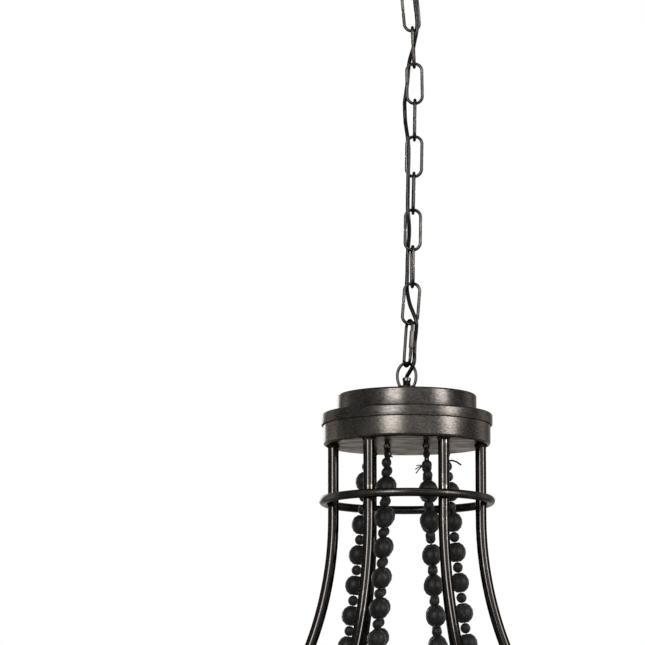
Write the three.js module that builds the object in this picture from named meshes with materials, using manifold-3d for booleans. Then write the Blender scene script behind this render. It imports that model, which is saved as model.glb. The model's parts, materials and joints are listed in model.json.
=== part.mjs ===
// A six-arm chandelier with bead strands, hung on a chain from the ceiling.
// Millimetres, +Z up. The origin is the centre of the mounting face at the ceiling.
import * as THREE from 'three';
import { mergeVertices } from 'three/addons/utils/BufferGeometryUtils.js';
import Module from 'manifold-3d';

const wasm = await Module();
wasm.setup();

// Fits shared by all pieces, and how far the shapes that cut run past what they cut
const gap = 0.3;
const eyeGap = 0.6;
const overrun = 5;

// Ceiling bar, its threaded tube and lock nut
const barLength = 100;
const barWidth = 18;
const barThickness = 2.5;
const barSlotWidth = 4.6;
const barSlotLength = 14;
const barSlotRadius = 40;
const nippleRadius = 4.8;
const nippleBore = 3.3;
const nippleTop = 0.5;
const nippleLength = 25.5;
const nutHeight = 4;
const nutRadius = 8;

// Hub and ring that the chain hangs from
const hubRadius = 12.7;
const hubTop = 17;
const hubHeight = 16;
const hubNoseRadius = 11;
const hubNoseHeight = 4;
const hubNoseChamfer = 2;
const hubThreadDepth = 10;
const ringWire = 3.5;
const ringWidth = 22;
const ringDrop = 64.85;

// Ceiling canopy and the ring nut under it
const canopyRadius = 62;
const canopyHeight = 26;
const canopyWall = 1.2;
const canopyHole = 13.4;
const canopyOutlineShares = [[1, 0], [1, 0.2], [0.9, 0.56], [0.66, 0.86], [0.34, 1]];
const collarRadius = 17;
const collarHeight = 6;

// Chain: eleven links, the last one a longer quick link with a sleeve nut
const linkWire = 3.2;
const linkLength = 44;
const linkWidth = 18.5;
const linkCount = 11;
const quickLinkLength = 49.4;
const quickLinkTurn = THREE.MathUtils.degToRad(24);
const sleeveNutRadius = 2.5;
const sleeveNutLength = 17;
const sleeveNutRaise = 3;
// How far each pivot stands off the plumb line, pushed by the woven cord, as shares of the link width
const swayShares = [0, 0.2, 0.38, 0.46, 0.49, 0.46, 0.42, 0.37, 0.34, 0.32, 0.16, 0];

// Cord, woven through the links from the ceiling tube into the cap
const cordRadius = 2.1;
const cordSides = 8;
const cordSteps = 56;
// Points of the cord: shares of the link width to the right and back, then a share of the ring's drop
const cordRingShares = [
  [0, 0, 0.015], [0, 0, 0.247], [0, 0, 0.463], [0.022, -0.022, 0.586], [0.13, -0.13, 0.709],
  [0.249, -0.292, 0.833], [0.303, -0.357, 0.956],
];
// The same two shares, then the place along the chain: 2.5 is half-way between its pivots 2 and 3
const cordChainShares = [
  [0.32, -0.324, 0.193], [0.37, -0.238, 0.516], [0.456, -0.238, 0.867], [0.516, -0.249, 1.216],
  [0.596, -0.249, 1.592], [0.628, -0.259, 1.888], [0.573, -0.227, 2.102], [0.48, -0.119, 2.317],
  [0.397, 0, 2.505], [0.271, 0.119, 2.692], [0.188, 0.227, 2.853], [0.148, 0.259, 3.014],
  [0.09, 0.254, 3.363], [0, 0.249, 3.711], [-0.068, 0.195, 3.953], [-0.062, 0.097, 4.167],
  [-0.039, 0, 4.462], [0.029, -0.13, 4.73], [0.098, -0.238, 4.971], [0.141, -0.254, 5.24],
  [0.137, -0.249, 5.615], [0.114, -0.254, 5.937], [0.102, -0.216, 6.312], [0.09, -0.227, 6.687],
  [0.093, -0.254, 6.955], [0.138, -0.184, 7.197], [0.163, -0.032, 7.438], [0.139, 0.146, 7.679],
  [0.093, 0.259, 7.921], [0.058, 0.249, 8.242], [0.043, 0.238, 8.618], [0.019, 0.259, 8.939],
  [0.07, 0.151, 9.208], [0.186, 0, 9.477], [0.362, -0.141, 9.719], [0.522, -0.254, 9.947],
  [0.52, -0.2, 10.153], [0.445, -0.103, 10.435], [0.417, -0.162, 10.693], [0.41, -0.27, 10.88],
];
// The same two shares, then a share of the way from the last pivot to the bushing
const cordLoopShares = [
  [0.319, -0.238, 0.076], [0.141, -0.103, 0.542], [0.011, -0.005, 0.881],
];

// Loop on the cap, bushing and threaded stem
const loopWire = 3;
const loopWidth = 21.6;
const loopUpperRise = 13;
const loopLowerRise = 15;
const loopHubRadius = 9.5;
const loopHubHeight = 9.2;
const loopHeight = 32.8;
const stemRadius = 3.9;
const stemBore = 2.9;
const stemAboveCap = 14.3;
const stemLength = 50.3;
const bushingRadius = 4.2;
const bushingBore = 3.4;
const bushingHeight = 3;

// Cap: upper tier, flange and drum
const capWall = 1.5;
const tierRadius = 69.2;
const tierHeight = 19;
const flangeRadius = 85;
const flangeHeight = 11.3;
const flangeInner = 58;
const drumRadius = 82.9;
const drumHeight = 29.5;
const drumEdge = 3;
const strapWidth = 24;
const strapThickness = 2.5;
const strapHeight = 23;
const strapHalfSpan = 76;
const connectorRadius = 5;
const connectorHeight = 10.3;
const connectorTipShare = 0.6;

// Arms: a straight drop, a long outward bend, a counter bend and an upturned end
const armCount = 6;
const armRadius = 5.4;
const armCircle = 73;
const armTopInside = 7;
const armStraight = 72;
const armSpread = 360;
const armSpreadAngle = THREE.MathUtils.degToRad(50);
const armReturn = 150;
const armHook = 45;
const armLockRadius = 7.2;
const armLockHeight = 4;
const armTipRadius = 4.7;
const armTipHeight = 13;

// Hoops
const hoopRadius = 4.2;
const upperHoopBelowDrum = 55.2;

// Candle cups, sleeves and bulbs
const cupRadius = 27;
const cupFloorRadius = 17;
const cupWall = 1.5;
const cupRise = 3.4;
const sleeveRadius = 11;
const sleeveHeight = 80;
const socketBore = 7.3;
const socketDepth = 25;
const bulbRadius = 17.5;
const bulbHeight = 96;
const bulbCapRadius = 6.8;
const bulbNeckRadius = 9;
const bulbOutlineShares = [[0.86, 0.16], [1, 0.34], [0.8, 0.58], [0.4, 0.82]];

// Bead strands: a hanging curve from an eye under the drum to an eye on the arm
const curveScale = 45;
const curveLowDrop = 483.7;
const strandTopRadius = 38.8;
const strandTopDrop = 9;
const bigBead = 10;
const smallBead = 5.1;
const stringRadius = 1;
// How each strand starts: s a small bead, B a large one, - a stretch of bare string; then large and small in turn
const strandStarts = ['-ss', 'ss', '-s', '-sBs-s', '-ss', '--ssBsBs--'];
const bareStretch = 2.5;
const bigBeadRingShares = [-0.5, 0.5];
const smallBeadRingShares = [0];
const eyeWire = 0.8;
const eyeRadius = 3.2;
const strandLoopWire = 0.6;
const strandLoopRadius = 3.2;
const armEyeStandOff = 0.9;

// Facets
const roundSides = 24;
const canopySides = 18;
const smallSides = 8;
const wireSides = 6;
const hexSides = 6;
const loopSides = 12;
const loopSteps = 18;
const linkBends = 12;
const beadSides = 5;
const eyeSides = 3;
const eyeBends = 6;
const upperHoopSteps = 24;
const lowerHoopSteps = 36;
const armSides = 8;
const cupSides = 10;
const armStageSteps = [1, 6, 4, 8];
const endHalvings = 30;

// Heights that follow from the sizes above
const up = new THREE.Vector3(0, 0, 1);
const linkSeat = linkWire / 2 + gap + linkWire / 2;
const firstSeat = ringWire / 2 + gap + linkWire / 2;
const loopSeat = linkWire / 2 + gap + loopWire / 2;
const pivots = chainPivots();
const loopTop = pivots[linkCount].z + loopSeat;
const capTop = loopTop - loopHeight;
const stemTop = capTop + stemAboveCap;
const bushingFoot = stemTop + gap;
const bushingTop = bushingFoot + bushingHeight;
const tierBottom = capTop - tierHeight;
const flangeBottom = tierBottom - flangeHeight;
const drumTop = tierBottom - capWall - gap;
const drumBottom = drumTop - drumHeight;
const drumFloor = drumBottom + capWall;
const connectorFoot = drumFloor + gap;
const cordEnd = connectorFoot + connectorHeight + gap;
const armTop = drumFloor + armTopInside;
const armBendStart = drumBottom - armStraight;
const armPath = makeArmPath();
const armEnd = armPath.hookCentre.y;
const cupSeat = armEnd + gap;
const sleeveSeat = cupSeat + cupWall + gap;
const candleRadius = armPath.hookCentre.x + armHook;
const socketFloor = sleeveSeat + sleeveHeight - socketDepth;
const curveLow = drumBottom - curveLowDrop;
const curveLowRadius = strandTopRadius + curveReach(drumBottom - strandTopDrop);

// The chain's pivots from the ring down to the loop, each one the centre of the wire that carries the next piece
function chainPivots() {
  const places = [new THREE.Vector3(0, 0, -ringDrop)];
  for (let link = 1; link <= linkCount; link += 1) {
    const seat = link === 1 ? firstSeat : linkSeat;
    const length = link === linkCount ? quickLinkLength : linkLength;
    const pitch = length - linkWire - seat;
    const aside = (swayShares[link] - swayShares[link - 1]) * linkWidth;
    const above = places[link - 1];
    const drop = Math.sqrt(pitch * pitch - aside * aside);
    places.push(new THREE.Vector3(above.x + aside, 0, above.z - drop));
  }
  return places;
}

// Height of the strands' hanging curve at a distance from the axis
function curveHeight(radius) {
  return curveLow + curveScale * (Math.cosh((radius - curveLowRadius) / curveScale) - 1);
}

// How far from its low point, across, the hanging curve has a height
function curveReach(height) {
  return curveScale * Math.acosh(1 + (height - curveLow) / curveScale);
}

// The arm's centre line in its own upright plane: x is the distance from the axis, y the height
function makeArmPath() {
  const bendEnd = {
    x: armCircle + armSpread * (1 - Math.cos(armSpreadAngle)),
    y: armBendStart - armSpread * Math.sin(armSpreadAngle),
  };
  const returnEnd = {
    x: bendEnd.x + armReturn * (1 - Math.cos(armSpreadAngle)),
    y: bendEnd.y - armReturn * Math.sin(armSpreadAngle),
  };
  const stages = [
    armTop - armBendStart,
    armSpread * armSpreadAngle,
    armReturn * armSpreadAngle,
    armHook * Math.PI,
  ];
  const hookCentre = new THREE.Vector2(returnEnd.x + armHook, returnEnd.y);
  function pointAt(distance) {
    let rest = distance;
    if (rest <= stages[0]) {
      return new THREE.Vector2(armCircle, armTop - rest);
    }
    rest -= stages[0];
    if (rest <= stages[1]) {
      const turn = rest / armSpread;
      return new THREE.Vector2(
        armCircle + armSpread * (1 - Math.cos(turn)),
        armBendStart - armSpread * Math.sin(turn),
      );
    }
    rest -= stages[1];
    if (rest <= stages[2]) {
      const turn = armSpreadAngle - rest / armReturn;
      return new THREE.Vector2(
        returnEnd.x - armReturn * (1 - Math.cos(turn)),
        returnEnd.y + armReturn * Math.sin(turn),
      );
    }
    rest -= stages[2];
    const turn = rest / armHook;
    return new THREE.Vector2(
      hookCentre.x - armHook * Math.cos(turn),
      hookCentre.y - armHook * Math.sin(turn),
    );
  }
  return { pointAt, bendEnd, returnEnd, hookCentre, stages };
}

// A closed geometry with shared corners, no empty triangles and its faces pointing out
function cleaned(source) {
  const bare = source.clone();
  bare.deleteAttribute('normal');
  bare.deleteAttribute('uv');
  const merged = mergeVertices(bare, 1e-4);
  const index = merged.getIndex().array;
  const places = merged.getAttribute('position');
  const kept = [];
  let volume = 0;
  const a = new THREE.Vector3();
  const b = new THREE.Vector3();
  const c = new THREE.Vector3();
  for (let i = 0; i < index.length; i += 3) {
    const [p, q, r] = [index[i], index[i + 1], index[i + 2]];
    if (p === q || q === r || r === p) {
      continue;
    }
    kept.push(p, q, r);
    a.fromBufferAttribute(places, p);
    b.fromBufferAttribute(places, q);
    c.fromBufferAttribute(places, r);
    volume += a.dot(b.cross(c));
  }
  if (volume < 0) {
    kept.reverse();
  }
  merged.setIndex(kept);
  return merged;
}

function solid(geometry) {
  const closed = cleaned(geometry);
  const vertProperties = new Float32Array(closed.getAttribute('position').array);
  const triVerts = new Uint32Array(closed.getIndex().array);
  return new wasm.Manifold(new wasm.Mesh({ numProp: 3, vertProperties, triVerts }));
}

function geometryOf(body) {
  const mesh = body.getMesh();
  const geometry = new THREE.BufferGeometry();
  geometry.setAttribute('position', new THREE.BufferAttribute(mesh.vertProperties, 3));
  geometry.setIndex([...mesh.triVerts]);
  geometry.computeVertexNormals();
  return geometry;
}

function joined(...geometries) {
  return geometryOf(geometries.map(solid).reduce((sum, body) => sum.add(body)));
}

function cut(geometry, ...tools) {
  return geometryOf(tools.map(solid).reduce((rest, body) => rest.subtract(body), solid(geometry)));
}

// A turned shape about Z from its outline of [radius, height] points, closed on itself
function turned(outline, sides = roundSides) {
  const points = [...outline, outline[0]].map(([radius, height]) => new THREE.Vector2(radius, height));
  return new THREE.LatheGeometry(points, sides).rotateX(Math.PI / 2);
}

function rod(radius, from, to, sides = smallSides) {
  const shape = new THREE.CylinderGeometry(radius, radius, to - from, sides);
  return shape.rotateX(Math.PI / 2).translate(0, 0, (from + to) / 2);
}

function hexNut(radius, bore, from, height) {
  const body = rod(radius, from, from + height, hexSides);
  return cut(body, rod(bore, from - overrun, from + height + overrun, smallSides));
}

// A wire ring in the XZ plane, stretched by a straight length between its halves
function wireOval(width, length, wire, sides = wireSides) {
  const halfStep = Math.PI / linkBends;
  const bend = (width - wire) / 2;
  const straight = (length - width) / 2;
  const oval = new THREE.TorusGeometry(bend, wire / 2, sides, linkBends);
  oval.rotateZ(halfStep).rotateX(Math.PI / 2);
  const widen = 1 / Math.cos(halfStep);
  const places = oval.getAttribute('position');
  for (let i = 0; i < places.count; i += 1) {
    const z = places.getZ(i);
    const side = Math.sign(z);
    const inPlane = new THREE.Vector2(places.getX(i), z);
    const fromAxis = inPlane.length();
    inPlane.multiplyScalar(1 + (bend * (widen - 1)) / fromAxis);
    places.setXYZ(i, inPlane.x, places.getY(i), inPlane.y + side * straight);
  }
  return oval;
}

// A tube of one radius along a curve
function tube(curve, radius, sides, steps) {
  const section = new THREE.Shape();
  for (let side = 0; side < sides; side += 1) {
    const turn = (2 * Math.PI * side) / sides;
    const [x, y] = [radius * Math.cos(turn), radius * Math.sin(turn)];
    if (side === 0) {
      section.moveTo(x, y);
    } else {
      section.lineTo(x, y);
    }
  }
  section.closePath();
  return new THREE.ExtrudeGeometry(section, { steps, extrudePath: curve, curveSegments: 1 });
}

// Materials
const darkIron = new THREE.MeshStandardMaterial({ color: 0x3a3531, roughness: 0.45, metalness: 0.8 });
const darkChain = new THREE.MeshStandardMaterial({ color: 0x4a433d, roughness: 0.45, metalness: 0.8 });
const brightSteel = new THREE.MeshStandardMaterial({ color: 0xb8b4ac, roughness: 0.35, metalness: 0.9 });
const blackCord = new THREE.MeshStandardMaterial({ color: 0x141414, roughness: 0.8, metalness: 0 });
const charcoalWood = new THREE.MeshStandardMaterial({ color: 0x2e2c2b, roughness: 0.75, metalness: 0 });
const candleDark = new THREE.MeshStandardMaterial({ color: 0x24211f, roughness: 0.6, metalness: 0 });
const clearGlass = new THREE.MeshStandardMaterial({ color: 0xe8e6e0, roughness: 0.08, metalness: 0 });
const greyPlastic = new THREE.MeshStandardMaterial({ color: 0x8a8a86, roughness: 0.6, metalness: 0 });

const chandelier = new THREE.Group();

function add(name, geometry, material, group = chandelier) {
  const mesh = new THREE.Mesh(cleaned(geometry), material);
  mesh.geometry.computeVertexNormals();
  mesh.name = name;
  group.add(mesh);
  return mesh;
}

// Ceiling bar with its centre hole and two screw slots
function crossbar() {
  const outline = new THREE.Shape();
  outline.moveTo(-barLength / 2, -barWidth / 2);
  outline.lineTo(barLength / 2, -barWidth / 2);
  outline.lineTo(barLength / 2, barWidth / 2);
  outline.lineTo(-barLength / 2, barWidth / 2);
  outline.closePath();
  for (const side of [-1, 1]) {
    const slot = new THREE.Path();
    const centre = side * barSlotRadius;
    const reach = (barSlotLength - barSlotWidth) / 2;
    slot.absarc(centre + reach, 0, barSlotWidth / 2, -Math.PI / 2, Math.PI / 2, false);
    slot.absarc(centre - reach, 0, barSlotWidth / 2, Math.PI / 2, (3 * Math.PI) / 2, false);
    slot.closePath();
    outline.holes.push(slot);
  }
  const bar = new THREE.ExtrudeGeometry(outline, { depth: barThickness, bevelEnabled: false, curveSegments: 2 });
  return cut(bar.translate(0, 0, -barThickness), rod(nippleRadius + gap, -barThickness - overrun, overrun));
}

function pipe(radius, bore, from, to) {
  return turned([[bore, from], [radius, from], [radius, to], [bore, to]], smallSides);
}

// Threaded hub with the ring below it, bored for the tube and the cord
function canopyLoop() {
  const hubBottom = -hubTop - hubHeight;
  const noseBottom = hubBottom - hubNoseHeight;
  const hub = turned([
    [0, -hubTop], [hubRadius, -hubTop], [hubRadius, hubBottom], [hubNoseRadius, hubBottom],
    [hubNoseRadius - hubNoseChamfer, noseBottom], [0, noseBottom],
  ], canopySides);
  const ringTop = noseBottom + ringWire;
  const ringBottom = -ringDrop - ringWire / 2;
  const ring = wireOval(ringWidth, ringTop - ringBottom, ringWire);
  ring.translate(0, 0, (ringTop + ringBottom) / 2);
  const thread = rod(nippleRadius + gap, -hubTop - hubThreadDepth, -hubTop + overrun);
  const passage = rod(nippleBore, noseBottom - overrun, -hubTop);
  return cut(joined(hub, ring), thread, passage);
}

// Pressed dish, open at the top, with the hole that the hub comes through
function canopy() {
  const outer = canopyOutlineShares.map(([out, down]) => [out * canopyRadius, -down * canopyHeight]);
  const inner = outer.map(([radius, height], place) => {
    const flat = Math.min(1, place / (outer.length - 2));
    return [radius - canopyWall * (1 - flat), height + canopyWall * flat];
  });
  return turned([
    ...outer, [canopyHole, -canopyHeight], [canopyHole, -canopyHeight + canopyWall], ...inner.reverse(),
  ], canopySides);
}

function collarNut() {
  const top = -canopyHeight - gap;
  const bore = hubRadius + gap;
  return turned([
    [bore, top], [collarRadius - canopyWall, top], [collarRadius, top - canopyWall],
    [collarRadius, top - collarHeight + canopyWall], [collarRadius - canopyWall, top - collarHeight],
    [bore, top - collarHeight],
  ], canopySides);
}

// One link, upright in the XZ plane with its lower wire's centre at the origin
function linkShape(length) {
  return wireOval(linkWidth, length, linkWire).translate(0, 0, (length - linkWire) / 2);
}

// The quick link carries a sleeve nut over the joint in one leg
function quickLinkShape() {
  const leg = (linkWidth - linkWire) / 2;
  const middle = (quickLinkLength - linkWire) / 2;
  const sleeve = rod(sleeveNutRadius, middle - sleeveNutLength / 2, middle + sleeveNutLength / 2, hexSides);
  return joined(linkShape(quickLinkLength), sleeve.translate(-leg, 0, sleeveNutRaise));
}

function buildChain() {
  for (let link = 1; link <= linkCount; link += 1) {
    const below = pivots[link];
    const axis = pivots[link - 1].clone().sub(below).normalize();
    const last = link === linkCount;
    const group = new THREE.Group();
    group.position.copy(below);
    group.quaternion.setFromUnitVectors(up, axis);
    const name = `chain_link_${String(link).padStart(2, '0')}`;
    const mesh = add(name, last ? quickLinkShape() : linkShape(linkLength), darkChain, group);
    const edgeOn = link % 2 === 1;
    mesh.rotation.z = (edgeOn ? Math.PI / 2 : 0) + (last ? quickLinkTurn : 0);
    chandelier.add(group);
  }
}

function cord() {
  const route = [];
  function pass([right, back], height) {
    route.push(new THREE.Vector3(right * linkWidth, back * linkWidth, height));
  }
  cordRingShares.forEach((point) => pass(point, -point[2] * ringDrop));
  cordChainShares.forEach((point) => {
    const link = Math.floor(point[2]);
    pass(point, THREE.MathUtils.lerp(pivots[link].z, pivots[link + 1].z, point[2] - link));
  });
  const lastPivot = pivots[linkCount].z;
  cordLoopShares.forEach((point) => pass(point, THREE.MathUtils.lerp(lastPivot, bushingTop, point[2])));
  [stemTop, capTop, cordEnd].forEach((height) => pass([0, 0], height));
  return tube(new THREE.CatmullRomCurve3(route), cordRadius, cordSides, cordSteps);
}

// Egg-shaped ring on its bored hub
function fixtureLoop() {
  const reach = (loopWidth - loopWire) / 2;
  const centre = loopTop - loopUpperRise;
  const ring = new THREE.TorusGeometry(reach, loopWire / 2, wireSides, loopSteps);
  const places = ring.getAttribute('position');
  for (let i = 0; i < places.count; i += 1) {
    const turn = Math.atan2(places.getY(i), places.getX(i));
    const across = Math.hypot(places.getX(i), places.getY(i)) - reach;
    const rise = Math.sin(turn) > 0 ? loopUpperRise : loopLowerRise;
    const outward = new THREE.Vector2(Math.cos(turn) / reach, Math.sin(turn) / rise).normalize();
    places.setXYZ(
      i,
      reach * Math.cos(turn) + across * outward.x,
      -places.getZ(i),
      rise * Math.sin(turn) + across * outward.y + centre,
    );
  }
  const hubBottom = capTop + gap;
  const hub = rod(loopHubRadius, hubBottom, hubBottom + loopHubHeight, loopSides);
  const bore = rod(stemRadius + gap, hubBottom - overrun, hubBottom + loopHubHeight + 2 * gap);
  const passage = rod(stemRadius + gap, centre - loopLowerRise - loopWire, hubBottom + loopHubHeight + overrun);
  return cut(joined(ring, hub), bore, passage);
}

function upperTier() {
  const inner = tierRadius - capWall;
  const bottom = tierBottom + gap;
  const hole = stemRadius + gap;
  return turned([
    [hole, capTop], [tierRadius - capWall, capTop], [tierRadius, capTop - capWall], [tierRadius, bottom],
    [inner, bottom], [inner, capTop - capWall], [hole, capTop - capWall],
  ]);
}

function flange() {
  const inner = flangeRadius - capWall;
  return turned([
    [flangeInner, tierBottom], [inner, tierBottom], [flangeRadius, tierBottom - capWall],
    [flangeRadius, flangeBottom], [inner, flangeBottom], [inner, tierBottom - capWall],
    [flangeInner, tierBottom - capWall],
  ]);
}

// Small wire eye centred at the origin, its ring in the plane of Z and Y
function eyeRing(radius, wire) {
  return new THREE.TorusGeometry(radius, wire, eyeSides, eyeBends).rotateY(Math.PI / 2);
}

// Directions at a strand's end: towards what carries it, in the upright plane of its arm
function endDirection(radius, side) {
  const slope = Math.sinh((radius - curveLowRadius) / curveScale);
  return new THREE.Vector3(side, 0, side * slope).normalize();
}

// Distance from the axis of the arm's centre line at a height, down to the bottom of its upturned end
function armRadiusAt(height) {
  const [bendEnd, returnEnd] = [armPath.bendEnd, armPath.returnEnd];
  if (height > armBendStart) {
    return armCircle;
  }
  if (height > bendEnd.y) {
    return armCircle + armSpread - Math.sqrt(armSpread ** 2 - (armBendStart - height) ** 2);
  }
  if (height > returnEnd.y) {
    return returnEnd.x - armReturn + Math.sqrt(armReturn ** 2 - (height - returnEnd.y) ** 2);
  }
  return armPath.hookCentre.x - Math.sqrt(Math.max(0, armHook ** 2 - (returnEnd.y - height) ** 2));
}

// Where the strand ends: its eye stands just inside the arm
function strandEndRadius() {
  let [inner, outer] = [curveLowRadius, armPath.hookCentre.x];
  for (let halving = 0; halving < endHalvings; halving += 1) {
    const middle = (inner + outer) / 2;
    const { eye } = hookedPair(middle, 1);
    const room = armRadiusAt(eye.z) - eye.x - armRadius - armEyeStandOff - eyeRadius;
    [inner, outer] = room > 0 ? [middle, outer] : [inner, middle];
  }
  return inner;
}

// Centres of a carrying eye and of the strand's own loop, hooked through it with their wires just clear
function hookedPair(radius, side) {
  const away = endDirection(radius, side);
  const loop = new THREE.Vector3(radius, 0, curveHeight(radius));
  const apart = eyeRadius + strandLoopRadius - eyeWire - strandLoopWire - eyeGap;
  const eye = loop.clone().addScaledVector(away, apart);
  return { loop, eye, away };
}

const strandLowerRadius = strandEndRadius();
const topHook = hookedPair(strandTopRadius, -1);
const lowHook = hookedPair(strandLowerRadius, 1);

function placedEye({ eye, away }) {
  const ring = eyeRing(eyeRadius, eyeWire);
  ring.applyQuaternion(new THREE.Quaternion().setFromUnitVectors(up, away));
  return ring.translate(eye.x, eye.y, eye.z);
}

// Pan with a rounded lower edge, six arm holes and six eyes on short shanks
function drum() {
  const inner = drumRadius - capWall;
  const soft = drumEdge * (1 - Math.SQRT1_2);
  const pan = turned([
    [0, drumBottom], [drumRadius - drumEdge, drumBottom], [drumRadius - soft, drumBottom + soft],
    [drumRadius, drumBottom + drumEdge], [drumRadius, drumTop], [inner, drumTop],
    [inner, drumBottom + drumEdge], [drumRadius - drumEdge, drumFloor], [0, drumFloor],
  ]);
  const holes = [];
  const eyes = [];
  for (let arm = 0; arm < armCount; arm += 1) {
    const turn = (2 * Math.PI * arm) / armCount;
    const hole = rod(armRadius + gap, drumBottom - overrun, drumFloor + overrun);
    holes.push(hole.translate(armCircle, 0, 0).rotateZ(turn));
    const shank = rod(eyeWire, topHook.eye.z + eyeRadius - eyeWire, drumBottom + capWall / 2, eyeSides);
    shank.translate(topHook.eye.x + topHook.away.x * eyeRadius, 0, 0);
    eyes.push(joined(placedEye(topHook), shank).rotateZ(turn));
  }
  return cut(joined(pan, ...eyes), ...holes);
}

// Bent strap that stands on the pan's floor and that the stem passes through
function strap() {
  const foot = drumFloor + gap;
  const top = foot + strapHeight;
  const outline = new THREE.Shape();
  outline.moveTo(-strapHalfSpan, foot);
  outline.lineTo(-strapHalfSpan, top);
  outline.lineTo(strapHalfSpan, top);
  outline.lineTo(strapHalfSpan, foot);
  outline.lineTo(strapHalfSpan - strapThickness, foot);
  outline.lineTo(strapHalfSpan - strapThickness, top - strapThickness);
  outline.lineTo(-strapHalfSpan + strapThickness, top - strapThickness);
  outline.lineTo(-strapHalfSpan + strapThickness, foot);
  outline.closePath();
  const bent = new THREE.ExtrudeGeometry(outline, { depth: strapWidth, bevelEnabled: false });
  bent.translate(0, 0, -strapWidth / 2).rotateX(Math.PI / 2).rotateZ(Math.PI / 2);
  return cut(bent, rod(stemRadius + gap, foot, top + overrun));
}

// Bent tube with its lock nut in the pan, its turned-down tip and the eye for the strand
function arm() {
  const centreLine = new THREE.Curve();
  const allSteps = armStageSteps.reduce((sum, steps) => sum + steps, 0);
  centreLine.getUtoTmapping = (share) => share;
  centreLine.getPoint = (share, target = new THREE.Vector3()) => {
    let step = share * allSteps;
    let distance = 0;
    armStageSteps.forEach((steps, stage) => {
      distance += (Math.min(step, steps) / steps) * armPath.stages[stage];
      step -= Math.min(step, steps);
    });
    const place = armPath.pointAt(distance);
    return target.set(place.x, 0, place.y);
  };
  const bent = tube(centreLine, armRadius, armSides, allSteps);
  const lock = rod(armLockRadius, drumFloor + gap, drumFloor + gap + armLockHeight, hexSides);
  const tip = rod(armTipRadius, armEnd - armTipHeight, armEnd + armTipHeight);
  tip.translate(candleRadius, 0, 0);
  return joined(bent, lock.translate(armCircle, 0, 0), tip, armEye());
}

// The eye stands on a short shank that reaches into the tube
function armEye() {
  const foot = lowHook.eye.clone().addScaledVector(lowHook.away, eyeRadius - eyeWire);
  const length = armRadiusAt(foot.z) - foot.x;
  const shank = new THREE.CylinderGeometry(eyeWire, eyeWire, length, eyeSides).rotateZ(Math.PI / 2);
  shank.translate(foot.x + length / 2, 0, foot.z);
  return joined(placedEye(lowHook), shank);
}

function hoop(radius, height, steps) {
  return new THREE.TorusGeometry(radius, hoopRadius, wireSides, steps).translate(0, 0, height);
}

// Drip pan with a collar under it, its hole over the arm's tip
function candleCup() {
  const hole = armTipRadius + 2 * gap;
  const floor = cupSeat;
  return turned([
    [hole, floor], [cupFloorRadius, floor], [cupRadius, floor + cupRise],
    [cupRadius - cupWall, floor + cupRise + cupWall / 2], [cupFloorRadius, floor + cupWall],
    [hole, floor + cupWall],
  ], cupSides);
}

// Sleeve with the lampholder in it: a bore for the arm's tip below, the socket above
function candleSleeve() {
  const bottom = sleeveSeat;
  const top = sleeveSeat + sleeveHeight;
  const tipTop = armEnd + armTipHeight + gap;
  const bore = armTipRadius + gap;
  return turned([
    [0, tipTop], [bore, tipTop], [bore, bottom], [sleeveRadius, bottom], [sleeveRadius, top],
    [socketBore, top], [socketBore, socketFloor], [0, socketFloor],
  ], smallSides);
}

// Flame bulb with its screw cap in the socket
function bulb() {
  const foot = socketFloor + gap;
  const neck = sleeveSeat + sleeveHeight + gap;
  const height = bulbHeight - (neck - foot);
  return turned([
    [0, foot], [bulbCapRadius, foot], [bulbCapRadius, neck], [bulbNeckRadius, neck + gap],
    ...bulbOutlineShares.map(([out, along]) => [out * bulbRadius, neck + along * height]),
    [0, neck + height],
  ], smallSides);
}

const armsGroup = new THREE.Group();
chandelier.add(armsGroup);

function spoke(index) {
  const group = new THREE.Group();
  group.rotation.z = (2 * Math.PI * index) / armCount;
  armsGroup.add(group);
  return group;
}

// Beads threaded on their string: a turned outline along Z, then bent along the hanging curve
function beadOutline(starts, length) {
  const outline = [[0, 0], [stringRadius, 0]];
  let along = strandLoopRadius + stringRadius;
  function bead(radius, rings) {
    for (const ring of rings) {
      outline.push([radius * Math.sqrt(1 - ring * ring), along + radius * (1 + ring)]);
    }
    along += 2 * radius;
    outline.push([stringRadius, along]);
  }
  outline.push([stringRadius, along]);
  for (const mark of starts) {
    if (mark === '-') {
      along += bareStretch;
      outline.push([stringRadius, along]);
    } else if (mark === 'B') {
      bead(bigBead, bigBeadRingShares);
    } else {
      bead(smallBead, smallBeadRingShares);
    }
  }
  while (along + 2 * bigBead + 2 * smallBead + strandLoopRadius < length) {
    bead(bigBead, bigBeadRingShares);
    bead(smallBead, smallBeadRingShares);
  }
  if (along + 2 * bigBead + strandLoopRadius < length) {
    bead(bigBead, bigBeadRingShares);
  }
  outline.push([stringRadius, length], [0, length]);
  return outline;
}

function curveArc(radius) {
  return curveScale * Math.sinh((radius - curveLowRadius) / curveScale);
}

// Point of the hanging curve at a distance along it from its low point, with its direction
function curvePoint(arc) {
  const radius = curveLowRadius + curveScale * Math.asinh(arc / curveScale);
  const slope = arc / curveScale;
  const along = new THREE.Vector3(1, 0, slope).normalize();
  return { place: new THREE.Vector3(radius, 0, curveHeight(radius)), along };
}

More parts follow.
